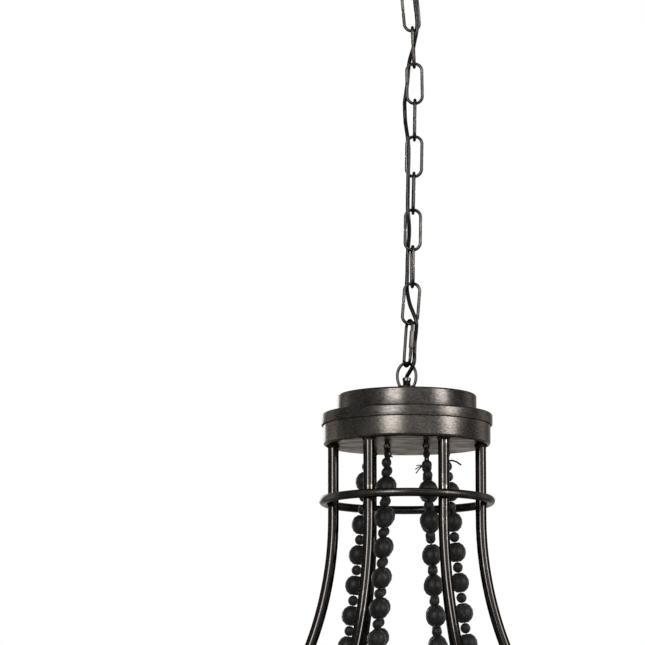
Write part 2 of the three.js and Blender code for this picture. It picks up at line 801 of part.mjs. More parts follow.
function strand(starts) {
  const start = curveArc(strandTopRadius);
  const end = curveArc(strandLowerRadius);
  const outline = beadOutline(starts, end - start);
  const points = outline.map(([radius, height]) => new THREE.Vector2(radius, height));
  const string = new THREE.LatheGeometry(points, beadSides);
  const places = string.getAttribute('position');
  for (let i = 0; i < places.count; i += 1) {
    const { place, along } = curvePoint(start + places.getY(i));
    const across = new THREE.Vector3(-along.z, 0, along.x);
    place.addScaledVector(across, places.getX(i));
    place.y += places.getZ(i);
    places.setXYZ(i, place.x, place.y, place.z);
  }
  const loops = [topHook, lowHook].map(({ loop }) => {
    const ring = new THREE.TorusGeometry(strandLoopRadius, strandLoopWire, eyeSides, eyeBends);
    ring.rotateX(Math.PI / 2);
    return ring.translate(loop.x, loop.y, loop.z);
  });
  return joined(string, ...loops);
}

function buildCeiling() {
  add('ceiling_crossbar', crossbar(), brightSteel);
  add('ceiling_nipple', pipe(nippleRadius, nippleBore, -nippleTop - nippleLength, -nippleTop), brightSteel);
  const nutBottom = -barThickness - gap - nutHeight;
  add('crossbar_nut', hexNut(nutRadius, nippleRadius + gap, nutBottom, nutHeight), brightSteel);
  add('canopy_loop', canopyLoop(), darkChain);
  add('ceiling_canopy', canopy(), darkIron);
  add('collar_nut', collarNut(), darkIron);
  add('power_cord', cord(), blackCord);
}

function buildCap() {
  const stemBottom = stemTop - stemLength;
  const strapTop = drumFloor + gap + strapHeight;
  const nutBottom = strapTop - strapThickness - gap - nutHeight;
  add('fixture_loop', fixtureLoop(), darkChain);
  add('cord_bushing', pipe(bushingRadius, bushingBore, bushingFoot, bushingTop), brightSteel);
  add('stem_tube', pipe(stemRadius, stemBore, stemBottom, stemTop), darkChain);
  add('stem_nut', hexNut(nutRadius, stemRadius + gap, nutBottom, nutHeight), brightSteel);
  add('cap_upper_tier', upperTier(), darkIron);
  add('cap_flange', flange(), darkIron);
  add('cap_drum', drum(), darkIron);
  add('cap_strap', strap(), brightSteel);
  add('wire_connector', turned([
    [0, connectorFoot], [connectorTipShare * connectorRadius, connectorFoot],
    [connectorRadius, cordEnd - gap], [0, cordEnd - gap],
  ], smallSides), greyPlastic);
}

function buildCage() {
  const armShape = arm();
  const cupShape = candleCup();
  const sleeveShape = candleSleeve();
  const bulbShape = bulb();
  for (let index = 0; index < armCount; index += 1) {
    const group = spoke(index);
    const number = index + 1;
    add(`arm_${number}`, armShape, darkIron, group);
    add(`candle_cup_${number}`, cupShape, darkIron, group).position.x = candleRadius;
    add(`candle_sleeve_${number}`, sleeveShape, candleDark, group).position.x = candleRadius;
    add(`bulb_${number}`, bulbShape, clearGlass, group).position.x = candleRadius;
    add(`bead_strand_${number}`, strand(strandStarts[index]), charcoalWood, group);
  }
  const upperHeight = drumBottom - upperHoopBelowDrum;
  const lowerArm = armPath.hookCentre.x - armHook;
  const outside = armRadius + gap + hoopRadius;
  add('upper_hoop', hoop(armCircle + outside, upperHeight, upperHoopSteps), darkIron);
  add('lower_hoop', hoop(lowerArm + outside, armEnd, lowerHoopSteps), darkIron);
}

buildCeiling();
buildChain();
buildCap();
buildCage();

export default chandelier;
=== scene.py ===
import json
import math
import random

import bmesh
import bpy
from bpy.props import FloatProperty, FloatVectorProperty, IntProperty, PointerProperty
from mathutils import Matrix, Vector


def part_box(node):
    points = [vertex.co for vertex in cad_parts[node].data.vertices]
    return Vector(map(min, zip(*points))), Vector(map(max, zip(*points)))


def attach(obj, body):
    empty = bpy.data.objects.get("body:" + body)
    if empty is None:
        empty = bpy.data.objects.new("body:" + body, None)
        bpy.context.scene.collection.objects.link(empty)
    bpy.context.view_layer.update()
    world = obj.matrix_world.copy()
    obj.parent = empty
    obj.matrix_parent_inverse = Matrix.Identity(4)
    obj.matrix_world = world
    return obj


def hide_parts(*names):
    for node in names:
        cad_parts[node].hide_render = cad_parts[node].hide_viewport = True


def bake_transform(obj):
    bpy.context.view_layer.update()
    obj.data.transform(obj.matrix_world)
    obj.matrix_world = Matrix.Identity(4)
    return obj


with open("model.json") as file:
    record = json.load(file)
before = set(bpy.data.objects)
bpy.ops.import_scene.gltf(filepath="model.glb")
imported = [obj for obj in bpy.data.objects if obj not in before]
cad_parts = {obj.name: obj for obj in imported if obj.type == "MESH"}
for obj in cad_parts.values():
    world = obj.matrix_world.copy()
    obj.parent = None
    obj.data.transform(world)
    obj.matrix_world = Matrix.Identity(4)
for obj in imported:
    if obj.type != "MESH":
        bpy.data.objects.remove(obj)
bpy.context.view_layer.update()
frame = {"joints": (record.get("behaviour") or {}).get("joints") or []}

bl_info = {
    "name": "Beaded chandelier",
    "version": (1, 0, 0),
    "blender": (4, 5, 0),
    "location": "3D View > Sidebar > Chandelier",
    "description": "Builds the visible pieces of a six-arm bead chandelier round its fixed frame",
    "category": "Object",
}

MM = 0.001
ARMS = 6
UP = Vector((0, 0, 1))
JOINT_PLACES = {joint["name"]: Vector(joint["pos_m"]) for joint in frame["joints"] if "pos_m" in joint}
LINKS = sum(1 for name in JOINT_PLACES if name.startswith("link_"))
# The centres of the wires that carry the next piece down, from the ceiling ring to the last link
PIVOTS = [JOINT_PLACES[f"link_{number:02d}_swing"] for number in range(1, LINKS + 1)]
PIVOTS.append(JOINT_PLACES["fixture_swing"])


# Sizes and colours that a user would change


def length(name, mm, description):
    """A length property, given in millimetres and held in metres."""
    return FloatProperty(
        name=name, description=description, default=mm * MM, min=0.0, unit="LENGTH", precision=5
    )


def turning(name, degrees, description):
    """An angle property, given in degrees and held in radians."""
    return FloatProperty(
        name=name, description=description, default=math.radians(degrees), subtype="ANGLE"
    )


def colour(name, rgb, description):
    """A colour property."""
    return FloatVectorProperty(
        name=name, description=description, default=rgb, min=0.0, max=1.0, size=3, subtype="COLOR"
    )


class ChainSizes(bpy.types.PropertyGroup):
    """Sizes of the chain and its end link."""

    wire: length("Wire", 3.2, "Thickness of the link wire")
    link_length: length("Link length", 44, "Outside length of a link")
    link_width: length("Link width", 18.5, "Outside width of a link")
    quick_length: length("Quick link length", 49.4, "Outside length of the lowest link")
    quick_turn: turning("Quick link turn", 24, "How far the lowest link stands turned about the chain")
    sleeve_radius: length("Sleeve nut", 2.5, "Corner radius of the sleeve nut on the quick link")
    sleeve_length: length("Sleeve nut length", 17, "Length of the sleeve nut")
    sleeve_raise: length("Sleeve nut raise", 3, "How far the nut sits above the leg's middle")
    seam: length("Seam", 0.5, "Width of the butt seam in each link")


class CordSizes(bpy.types.PropertyGroup):
    """Sizes of the supply cord."""

    radius: length("Radius", 2.1, "Radius of the round cord")


class CeilingSizes(bpy.types.PropertyGroup):
    """Sizes of the fittings at the ceiling."""

    bar_length: length("Bar length", 100, "Length of the slotted bar")
    bar_width: length("Bar width", 18, "Width of the slotted bar")
    bar_thickness: length("Bar thickness", 2.5, "Thickness of the slotted bar")
    slot_radius: length("Slot place", 40, "Distance of each slot from the middle")
    slot_length: length("Slot length", 14, "End-to-end length of a slot")
    slot_width: length("Slot width", 4.6, "Width of a slot")
    canopy_radius: length("Canopy radius", 62, "Radius of the dish at the ceiling")
    canopy_height: length("Canopy height", 26, "Depth of the dish")
    canopy_hole: length("Canopy hole", 13.4, "Radius of the hole that the hub comes through")
    ring_wire: length("Ring wire", 3.5, "Thickness of the ring that carries the chain")
    ring_width: length("Ring width", 22, "Outside width of that ring")


class CapSizes(bpy.types.PropertyGroup):
    """Sizes of the cap and what stands on it."""

    wall: length("Wall", 1.5, "Thickness of the spun sheet")
    tier_radius: length("Tier radius", 69.2, "Radius of the upper tier")
    flange_radius: length("Flange radius", 85, "Radius of the lid with its skirt")
    flange_inner: length("Flange inner radius", 58, "Radius of the opening in the lid")
    drum_radius: length("Drum radius", 82.9, "Radius of the pan")
    drum_edge: length("Drum edge", 3, "Radius of the pan's lower edge")
    loop_wire: length("Loop wire", 3, "Thickness of the loop's wire")
    loop_width: length("Loop width", 21.6, "Outside width of the loop")
    loop_upper: length("Loop upper rise", 13, "Rise of the loop above its widest place")
    loop_lower: length("Loop lower rise", 15, "Drop of the loop below its widest place")


class ArmSizes(bpy.types.PropertyGroup):
    """Sizes of the bent tubes and hoops."""

    radius: length("Tube radius", 5.4, "Radius of the arm tubes")
    circle: length("Arm circle", 73, "Distance of the arms from the axis under the cap")
    straight: length("Straight drop", 72, "Length of the straight part under the cap")
    spread: length("Outward bend", 360, "Radius of the long outward bend")
    back: length("Counter bend", 150, "Radius of the counter bend")
    hook: length("Upturned end", 45, "Radius of the half turn at the end")
    bend: turning("Bend angle", 50, "How far the arm leans out between its bends")
    hoop_radius: length("Hoop rod", 4.2, "Radius of the hoops' rod")
    hoop_drop: length("Upper hoop drop", 55.2, "How far the upper hoop lies below the pan")


class BeadSizes(bpy.types.PropertyGroup):
    """Sizes of the bead strands."""

    big: length("Large bead", 10, "Radius of the large beads")
    small: length("Small bead", 5.1, "Radius of the small beads")
    string: length("String", 0.5, "Radius of each of the two cords between the beads")
    eye: length("Eye", 3.2, "Radius of the wire eyes and of the strand's own loops")
    scale: length("Curve scale", 45, "Scale of the curve that a strand hangs in")
    top_radius: length("Upper end", 38.8, "Distance of a strand's upper end from the axis")
    low_drop: length("Curve drop", 483.7, "How far the curve's lowest point hangs below the pan")
    spread: FloatProperty(
        name="Size spread", description="How far the turned beads differ from each other",
        default=0.035, subtype="FACTOR",
    )
    seed: IntProperty(name="Seed", description="Seed of the bead sizes and tones", default=11)


class LampSizes(bpy.types.PropertyGroup):
    """Sizes of the candle cups, sleeves and bulbs."""

    cup_radius: length("Cup radius", 27, "Radius of the drip pan")
    cup_floor: length("Cup floor", 17, "Radius of the pan's flat floor")
    cup_rise: length("Cup rise", 3.4, "Rise of the pan's rim")
    sleeve_radius: length("Sleeve radius", 11, "Radius of the candle sleeve")
    socket_radius: length("Socket", 7.3, "Radius of the lampholder's mouth")
    socket_depth: length("Socket depth", 25, "Depth of the lampholder")
    bulb_radius: length("Bulb radius", 17.5, "Radius of the bulb's belly")


class Finishes(bpy.types.PropertyGroup):
    """Colours of the surfaces."""

    iron: colour("Iron", (0.0118, 0.0109, 0.0102), "Blackened iron")
    rubbed: colour("Rubbed iron", (0.043, 0.0385, 0.0344), "Iron where the black is rubbed off")
    steel: colour("Steel", (0.05, 0.0445, 0.038), "Plated steel")
    cord: colour("Cord", (0.006, 0.006, 0.00625), "Sheath of the cord")
    wood: colour("Wood", (0.0155, 0.015, 0.015), "Charcoal stain")
    grain: colour("Grain", (0.2, 0.172, 0.142), "Wood that shows through the stain")
    sleeve: colour("Candle sleeve", (0.06, 0.055, 0.05), "Card sleeve round the lampholder")
    brass: colour("Brass", (0.62, 0.43, 0.2), "Screw caps of the bulbs")
    plastic: colour("Plastic", (0.3, 0.3, 0.29), "Splice cap in the pan")


# Smaller sizes. An outline is given in mm, as radius and height from where its operator starts it

TUBE_RADIUS, TUBE_BORE, TUBE_HOLE = 4.8 * MM, 3.3 * MM, 5.1 * MM
STEM_RADIUS, STEM_BORE, STEM_HOLE = 3.9 * MM, 2.9 * MM, 4.2 * MM
NUT_RADIUS = 8 * MM
# The gap between pieces that touch, and how far a drill reaches past the bar
FIT, CUT_REACH = 0.3 * MM, 5 * MM
CEILING_HUB = [
    (3.3, -27), (5.1, -27), (5.1, -17), (12.7, -17), (12.7, -33), (11, -33), (9, -37), (3.3, -37),
]
RING_TOP, RING_WELD = -33.5 * MM, -37.3 * MM
CANOPY_WALL = 1.2 * MM
# The dish's outside, in shares of its radius and height
CANOPY_SHARES = [
    (1, 0), (1, 0.08), (0.995, 0.2), (0.965, 0.36), (0.9, 0.56), (0.8, 0.72), (0.66, 0.86), (0.5, 0.95),
    (0.34, 1),
]
COLLAR_TOP, COLLAR_BOTTOM = [(13, 0), (15.8, 0), (17, -1.2)], [(17, 1.2), (15.8, 0), (13, 0)]
COLLAR_STEPS, COLLAR_RIM, COLLAR_GROOVE = 72, 16.9 * MM, 0.975
# How many degrees the edge-on links stand turned out of line
LINK_TURNS = (2, -2, 2, 3, 7)
# Radius and bore of the quick link's thread, how far it shows, its pitch and its depth
QUICK_THREAD, QUICK_THREAD_SHOWN, QUICK_PITCH = (1.75 * MM, 0.4 * MM), 8.5 * MM, (0.8 * MM, 0.3 * MM)
LOOP_HUB = [(4.2, 0), (9.5, 0), (9.5, 4.5), (8.2, 5.4), (8.2, 8.4), (6.9, 9.2), (4.2, 9.2)]
BUSHING_BOTTOM, BUSHING_TOP = [(3.4, 0), (4.2, 0)], [(4.2, -0.6), (3.9, 0), (3.4, -0.3)]
CAP_STEPS = 128
STRAP_WALL = 2.5 * MM
SPLICE_BOTTOM = [(0, 0), (2.6, 0), (3.4, 1.2)]
SPLICE_TOP = [(4.4, -2), (5, -1.4), (5, 0), (3.6, 0), (3.2, -1.5), (0, -1.5)]
# Steps of an arm's outward bend and of its counter bend; its upturned end has as many as the first
BEND_STEPS, BACK_STEPS = 32, 18
# How far an arm reaches into the pan, and its lock nut there
ARM_INSIDE, ARM_NUT_RADIUS, ARM_NUT_HEIGHT = 8.5 * MM, 7.2 * MM, 4 * MM
ARM_COLLAR = [(-0.4, -0.1), (1.6, -0.1), (0.9, -0.9), (-0.1, -2.4)]
# Radius and bore of the thread at an arm's end, and its reach below and above the end
ARM_TIP, ARM_TIP_BELOW, ARM_TIP_ABOVE = (4.7 * MM, 2.6 * MM), 12 * MM, 13 * MM
EYE_FOOT, EYE_WELD, EYE_WELD_PLACE = 9 * MM, 1.5 * MM, 3.4 * MM
HOOP_WELD, HOOP_WELD_ASIDE, HOOP_WELD_LIFT = 1.9 * MM, 2.3 * MM, 1.1 * MM
CUP_HOLE, CUP_WALL = 5.3, 1.5
CUP_SLOPE, CUP_SLOPE_INSIDE = (5, 0.9), (4.6, 2.2)
CUP_RIM = [(-0.8, -0.8), (0, -0.2), (-0.4, 0.6), (-1.5, 0.7)]
SLEEVE_BORE, SLEEVE_LIP = [(0, 11.5), (5, 11.5), (5, 0)], [(0, 0), (-0.9, 0), (-0.9, -1.6)]
SOCKET_LIP = [(1.1, -1.6), (1.1, 0), (0, 0)]
# The filament's wires: their radius, how far out and up their feet are, how much further out their heads
# are, the share of the bulb's height there, and their twist
FILAMENT_RADIUS, FILAMENT_FOOT, FILAMENT_FOOT_HEIGHT = 0.35 * MM, 2 * MM, 12 * MM
FILAMENT_WIDENING, FILAMENT_HEAD_HEIGHT, FILAMENT_TWIST = 2.3, 0.62, 0.7
GLASS_WALL = 0.9 * MM
# The bulb's outside, in shares of its belly's radius and of its height above the sleeve
BULB_SHARES = [
    (0.39, 0.0), (0.44, 0.03), (0.62, 0.09), (0.86, 0.17), (0.97, 0.26), (1, 0.34), (0.97, 0.44),
    (0.88, 0.54), (0.74, 0.64), (0.57, 0.73), (0.4, 0.82), (0.24, 0.9), (0.1, 0.96), (0, 1),
]
SCREW_BOTTOM, SCREW_TOP = [(0, 0), (2.2, 0), (2.2, 1.4), (5.6, 2.6)], [(6.5, -1.2), (6.7, -0.2), (0, -0.2)]
SCREW_RIDGES = [(6.2 if step % 2 else 6.8, 4 + 1.1 * step) for step in range(15)]
GLASS_STEM = [(0, -0.1), (4.6, -0.1), (2.4, 8), (1.3, 16), (0, 17)]
# The strands' wire eyes: their wire, the gap to the arm, and how far two loops overlap
EYE_WIRE, EYE_GAP, HOOK_OVERLAP = 0.8 * MM, 0.9 * MM, 2 * MM
# How far below the pan a strand's upper loop hangs
LOOP_DROP = 9 * MM
# How each strand starts: s a small bead, B a large one, - a bare stretch; then large and small in turn
STRAND_STARTS = ["-ss", "ss", "-s", "-sBs-s", "-ss", "--ssBsBs--"]
BARE_STRETCH = 2.5 * MM
# How much longer than wide a bead is, how far it tilts and how far it sits aside
BEAD_LENGTH, BEAD_TILT, BEAD_ASIDE = 1.035, 0.05, 0.25 * MM
# The two strings stand further apart near the top, down to a distance
STRING_APART, STRING_APART_DOWN_TO, STRING_TOGETHER = 1.25 * MM, 42 * MM, 0.5 * MM
WINDING_RADIUS, WINDING_STEP = 0.6 * MM, 0.35 * MM
# Where a knot sits beside its loop, how far its lumps stray, and then how far each one is towards the eye
# and its radius, in mm
KNOT_PLACE, KNOT_STRAY, KNOTS = 0.4 * MM, 0.8, [(1.2, 1.9), (-0.6, 2.4), (-2.6, 1.8)]
# The upper eyes: how far the shank reaches into the pan, and the radius, bottom and top of the weld below it
SHANK_END, SHANK_WELD = 0.4 * MM, (2.6 * MM, 3.2 * MM, 0.5 * MM)
LOWER_TAIL = (7 * MM, 0.5 * MM)
# Cut string ends: strand, drop in mm, heading in degrees, reach and thickness in mm, number of loose ends
STRING_TAILS = [
    (6, 12, 184, 11, 1.2, 3), (1, 3, -16, 15, 1.9, 1), (5, 1, 12, 6, 1.5, 1), (3, 7, 110, 8, 1.2, 2),
]


# Shader maths


class Flow:
    """A number on its way through a material's nodes."""

    def __init__(self, finish, socket):
        self.finish = finish
        self.socket = socket

    def __add__(self, other):
        return self.finish.maths("ADD", self, other)

    def __sub__(self, other):
        return self.finish.maths("SUBTRACT", self, other)

    def __rsub__(self, other):
        return self.finish.maths("SUBTRACT", other, self)

    def __mul__(self, other):
        return self.finish.maths("MULTIPLY", self, other)

    __radd__ = __add__
    __rmul__ = __mul__

    def clamped(self, low, high):
        """Rises from 0 to 1 as the number goes from low to high, smoothly at both ends."""
        span = {"Value": self, "From Min": low, "From Max": high}
        return self.finish.node("ShaderNodeMapRange", span, interpolation_type="SMOOTHSTEP").out("Result")


class Made:
    """A node that has been placed, with its outputs at hand."""

    def __init__(self, finish, node):
        self.finish = finish
        self.node = node

    def out(self, name=0):
        return Flow(self.finish, self.node.outputs[name])


class Finish:
    """A material built from nodes round one surface shader."""

    def __init__(self, name, **constants):
        self.material = bpy.data.materials.new(name)
        self.material.use_nodes = True
        self.tree = self.material.node_tree
        self.tree.nodes.clear()
        self.surface = self.node("ShaderNodeBsdfPrincipled")
        self.node("ShaderNodeOutputMaterial", {"Surface": self.surface.out("BSDF")})
        self.feed(constants)

    def node(self, kind, inputs=(), **settings):
        """Place a node: its settings first, then the values or links of its sockets."""
        node = self.tree.nodes.new(kind)
        for key, value in settings.items():
            setattr(node, key, value)
        for key, value in inputs.items() if isinstance(inputs, dict) else enumerate(inputs):
            self.join(node, key, value)
        return Made(self, node)

    def join(self, node, key, value):
        if isinstance(value, Flow):
            self.tree.links.new(value.socket, node.inputs[key])
        else:
            node.inputs[key].default_value = value

    def feed(self, inputs):
        """Set sockets of the surface shader."""
        for key, value in inputs.items():
            self.join(self.surface.node, key, value)

    def maths(self, operation, *values):
        return self.node("ShaderNodeMath", values, operation=operation).out()

    def place(self, stretch=(1, 1, 1)):
        """Object coordinates, stretched."""
        coordinates = self.node("ShaderNodeTexCoord").out("Object")
        return self.node("ShaderNodeMapping", {"Vector": coordinates, "Scale": stretch}).out()

    def axes(self):
        """The three object coordinates."""
        parts = self.node("ShaderNodeSeparateXYZ", [self.node("ShaderNodeTexCoord").out("Object")])
        return [parts.out(name) for name in "XYZ"]

    def distance(self):
        """Distance from the upright axis."""
        x, y, _ = self.axes()
        return self.maths("SQRT", x * x + y * y)

    def around(self, stretch):
        """Coordinates that run round the upright axis: turn, height and distance, stretched."""
        x, y, z = self.axes()
        parts = self.maths("ARCTAN2", y, x), z, self.distance()
        return self.node("ShaderNodeCombineXYZ", [part * by for part, by in zip(parts, stretch)]).out()

    def height_band(self, height, reach):
        """1 at a height, falling to 0 at a distance above and below it."""
        return 1.0 - self.maths("ABSOLUTE", self.axes()[2] - height).clamped(0.0, reach)

    def noise(self, scale, detail=4.0, roughness=0.55, at=None, swirl=0.0):
        return self.node("ShaderNodeTexNoise", {
            "Vector": at or self.place(), "Scale": scale, "Detail": detail, "Roughness": roughness,
            "Distortion": swirl,
        }).out("Fac")

    def blend(self, share, first, second):
        """Mix two colours by a share."""
        ends = [(*value, 1) if isinstance(value, tuple) else value for value in (first, second)]
        return self.node("ShaderNodeMix", {0: share, 6: ends[0], 7: ends[1]}, data_type="RGBA").out(2)

    def bumped(self, height, depth, strength=1.0):
        inputs = {"Height": height, "Distance": depth, "Strength": strength}
        return self.node("ShaderNodeBump", inputs).out()


def tinted(rgb, share=1.0):
    """A colour made lighter or darker."""
    return tuple(min(1.0, value * share) for value in rgb)


def colours():
    return bpy.context.scene.chandelier_finishes


def dull(level):
    """The constant that keeps a dark surface from shining."""
    return {"Specular IOR Level": level}


def iron(name, rubbing, roughness, brushed=0.0, sheen=0.5, worn_heights=()):
    """Blackened iron: clouds and flecks where the black is rubbed off, and scratches round the axis."""
    finish = Finish(name, Metallic=1.0, **{"Specular Tint": (sheen, sheen * 0.99, sheen * 0.975, 1)})
    cloud = finish.noise(38.0, 5.0, 0.6)
    fleck = finish.noise(560.0 + 500.0 * brushed, 3.0, 0.65)
    scratch = finish.noise(1.0, 3.0, 0.6, finish.around((26.0, 700.0, 700.0)))
    weights = 0.55 - 0.25 * brushed, 0.29 - 0.05 * brushed, 0.16 + 0.3 * brushed
    wiped = cloud * weights[0] + fleck * weights[1] + scratch * weights[2]
    bare = wiped.clamped(0.58 - 0.1 * brushed - rubbing, 0.78 + 0.1 * brushed - rubbing)
    for height, reach in worn_heights:
        edge = finish.height_band(height, reach) * finish.noise(210.0, 3.0).clamped(0.48, 0.62)
        bare = finish.maths("MAXIMUM", bare, edge)
    shades = [tinted(colours().iron, 1 + side * (0.4 - 0.15 * brushed)) for side in (-1, 1)]
    dark = finish.blend(fleck * (1 - brushed) + scratch * brushed, *shades)
    relief = cloud * 0.2 + fleck * (0.4 - 0.2 * brushed) + scratch * 0.4
    finish.feed({
        "Base Color": finish.blend(bare, dark, tinted(colours().rubbed)),
        "Roughness": scratch * 0.08 + cloud * 0.08 + (roughness - 0.08),
        "Normal": finish.bumped(relief, (0.06 - 0.035 * brushed) * MM, 0.6),
    })
    return finish.material


def blackened_iron(name):
    """Arms, cap loop and eyes: black, and worn where the arms meet the pan and the upper hoop."""
    worn = [(drum_bottom() - 3 * MM, 5 * MM), (centre_of("upper_hoop").z + 7 * MM, 4 * MM)]
    return iron(name, 0.05, 0.15, sheen=0.35, worn_heights=worn)


def brushed_cap_iron(name):
    return iron(name, 0.11, 0.285, 1.0)


def brushed_drum_iron(name):
    """The pan: brushed as the cap is, and worn along its lower edge."""
    return iron(name, 0.155, 0.28, 1.0, worn_heights=[(drum_bottom() + 0.8 * MM, 2 * MM)])


def rubbed_chain_iron(name):
    return iron(name, 0.1, 0.3, sheen=0.35)


def satin_hoop_iron(name):
    return iron(name, 0.11, 0.3)


def worn_thread(name):
    return iron(name, 0.2, 0.3, sheen=0.35)


def brushed_underside(name):
    """The pan's underside: brushed one way by hand, with a painted highlight that makes it lighter near its
    rim.
    """
    finish = Finish(name, Metallic=1.0, **{"Specular Tint": (0.36, 0.335, 0.31, 1)})
    strokes = finish.noise(1.0, 3.0, 0.6, finish.place((36, 58, 36)), 0.7)
    light = (strokes * 0.85 + finish.noise(30.0) * 0.15).clamped(0.42, 0.6)
    # A tenth of the share is a painted highlight that lightens the underside towards its rim
    share = light * 0.9 + finish.distance().clamped(0.066, 0.078) * 0.1
    finish.feed({
        "Base Color": finish.blend(share, tinted(colours().rubbed, 0.15), tinted(colours().rubbed, 5.0)),
        "Roughness": 0.42 - strokes * 0.2,
        "Normal": finish.bumped(strokes, 1.7 * MM, 1.0),
    })
    return finish.material


def charcoal_beads(name):
    """Stained turned wood: grain runs from hole to hole, and each bead has its own tone."""
    finish = Finish(name, **dull(0.042))
    tone = finish.node("ShaderNodeAttribute", attribute_name="bead_tone").out("Fac")
    turn = finish.node("ShaderNodeUVMap", uv_map="UVMap").out()
    shifted = finish.node("ShaderNodeCombineXYZ", {"X": tone * 37.0, "Y": tone * 53.0}).out()
    along = finish.node("ShaderNodeVectorMath", [turn, shifted], operation="ADD").out()
    fibres = finish.node("ShaderNodeMapping", {"Vector": along, "Scale": (46, 3.0, 1)}).out()
    grain = finish.noise(1.6, 4.0, 0.62, fibres)
    pores = finish.noise(640.0, 3.0, 0.65)
    worn = finish.noise(95.0, 3.0)
    pale = (grain * 0.55 + pores * 0.25 + worn * 0.2).clamped(0.52, 0.74)
    finish.feed({
        "Base Color": finish.blend(
            pale * (0.55 + tone * 0.8), tinted(colours().wood), tinted(colours().grain),
        ),
        "Roughness": 0.44 - pale * 0.12,
        "Normal": finish.bumped(grain * 0.6 + pores * 0.4, 0.26 * MM, 0.8),
    })
    return finish.material


def amber_glass(name):
    """Amber blown glass with a faint waviness."""
    amber = (0.94, 0.8, 0.55, 1)
    finish = Finish(name, **{"Transmission Weight": 1.0, "IOR": 1.46, "Base Color": amber})
    wave = finish.noise(60.0, 2.0)
    finish.feed({"Roughness": wave * 0.03 + 0.01, "Normal": finish.bumped(wave, 0.15 * MM, 0.4)})
    return finish.material


def mottled(name, rgb, pattern, shades, rough, bump, span=None, fleck=None, **constants):
    """A surface between two shades of its colour, whose roughness follows the mottle.

    The pattern and the fleck, which is for the bump alone, are a noise's scale and detail. rough holds the
    least roughness and how much the mottle adds, and bump is in millimetres.
    """
    finish = Finish(name, **constants)
    mottle = finish.noise(*pattern)
    share = mottle.clamped(*span) if span else mottle
    base, follow = rough
    relief = finish.noise(*fleck) if fleck else mottle
    finish.feed({
        "Base Color": finish.blend(share, *(tinted(rgb, shade) for shade in shades)),
        "Roughness": mottle * follow + base,
        "Normal": finish.bumped(relief, bump * MM),
    })
    return finish.material


def zinc_steel(name):
    """Zinc-plated steel, dulled by handling."""
    return mottled(
        name, colours().steel, (90.0, 4.0), (0.62, 1.1), (0.4, 0.2), 0.03, fleck=(900.0, 2.0),
        Metallic=0.95,
    )


def cord_sheath(name):
    """Black plastic of the cord, a little dusty."""
    return mottled(
        name, colours().cord, (340.0, 4.0), (1, 2.6), (0.08, 0.06), 0.02, (0.45, 0.8), **dull(0.065),
    )


def waxed_string(name):
    return mottled(name, colours().cord, (1500.0, 2.0), (1, 3.2), (0.7, 0.2), 0.1, **dull(0.05))


def painted_sleeve(name):
    return mottled(
        name, colours().sleeve, (160.0, 4.0), (0.7, 1.4), (0.5, 0.2), 0.06, (0.3, 0.7), **dull(0.05),
    )


def splice_plastic(name):
    return mottled(name, colours().plastic, (420.0, 3.0), (0.85, 1.1), (0.45, 0.15), 0.04)


def screw_cap_brass(name):
    """Spun brass of the screw caps, tarnished in places."""
    return mottled(
        name, colours().brass, (130.0, 4.0), (1, 0.5), (0.2, 0.25), 0.03, (0.4, 0.75), Metallic=1.0,
    )


def shared(make):
    """The material that a function makes, which is named after it, made when it is first asked for."""
    return bpy.data.materials.get(make.__name__) or make(make.__name__)


# Modelling by hand: every helper leaves its piece selected and active


def mode(name):
    bpy.ops.object.mode_set(mode=name)


def clear():
    """Leave edit mode and deselect everything."""
    if bpy.context.object and bpy.context.object.mode != "OBJECT":
        mode("OBJECT")
    bpy.ops.object.select_all(action="DESELECT")


def only(piece):
    """Make a piece the one that is selected and active."""
    clear()
    piece.select_set(True)
    bpy.context.view_layer.objects.active = piece


def pick(test):
    """In edit mode, select the corners whose place passes a test."""
    bpy.ops.mesh.select_all(action="DESELECT")
    shape = bmesh.from_edit_mesh(bpy.context.object.data)
    for corner in shape.verts:
        corner.select_set(test(corner.co))
    shape.select_flush(True)
    bmesh.update_edit_mesh(bpy.context.object.data)


def pick_faces(test):
    """In edit mode, select the faces that pass a test."""
    bpy.ops.mesh.select_all(action="DESELECT")
    shape = bmesh.from_edit_mesh(bpy.context.object.data)
    for face in shape.faces:
        face.select_set(test(face))
    bmesh.update_edit_mesh(bpy.context.object.data)


def pull_apart(axis, reach, beyond=0.0):
    """Move the active piece's corners both ways along an axis, those that lie beyond a distance."""
    mode("EDIT")
    for side in (1, -1):
        pick(lambda place, side=side: place[axis] * side > beyond)
        bpy.ops.transform.translate(value=[side * reach if index == axis else 0 for index in range(3)])
    mode("OBJECT")


def tidy():
    """Close the seams of the mesh in edit mode, turn its faces outwards and leave edit mode."""
    bpy.ops.mesh.select_all(action="SELECT")
    bpy.ops.mesh.remove_doubles(threshold=0.002 * MM)
    bpy.ops.mesh.normals_make_consistent(inside=False)
    mode("OBJECT")


def profile(height, points, out=0.0):
    """An outline given in millimetres from a height and a radius."""
    return [(out + radius * MM, height + rise * MM) for radius, rise in points]


def turned(outline, steps):
    """Spin an outline of (radius, height) points about the axis. One that starts off the axis is closed."""
    if outline[0][0] > 0:
        outline = [*outline, outline[0]]
    clear()
    radius, height = outline[0]
    bpy.ops.mesh.primitive_plane_add(size=MM, location=(radius, 0, height))
    bpy.ops.object.transform_apply(location=True)
    mode("EDIT")
    bpy.ops.mesh.select_all(action="SELECT")
    bpy.ops.mesh.merge(type="CENTER")
    for here, there in zip(outline, outline[1:]):
        step = (there[0] - here[0], 0, there[1] - here[1])
        bpy.ops.mesh.extrude_vertices_move(TRANSFORM_OT_translate={"value": step})
    bpy.ops.mesh.select_all(action="SELECT")
    bpy.ops.mesh.spin(steps=steps, angle=math.tau, center=(0, 0, 0), axis=(0, 0, 1))
    tidy()
    return bpy.context.object


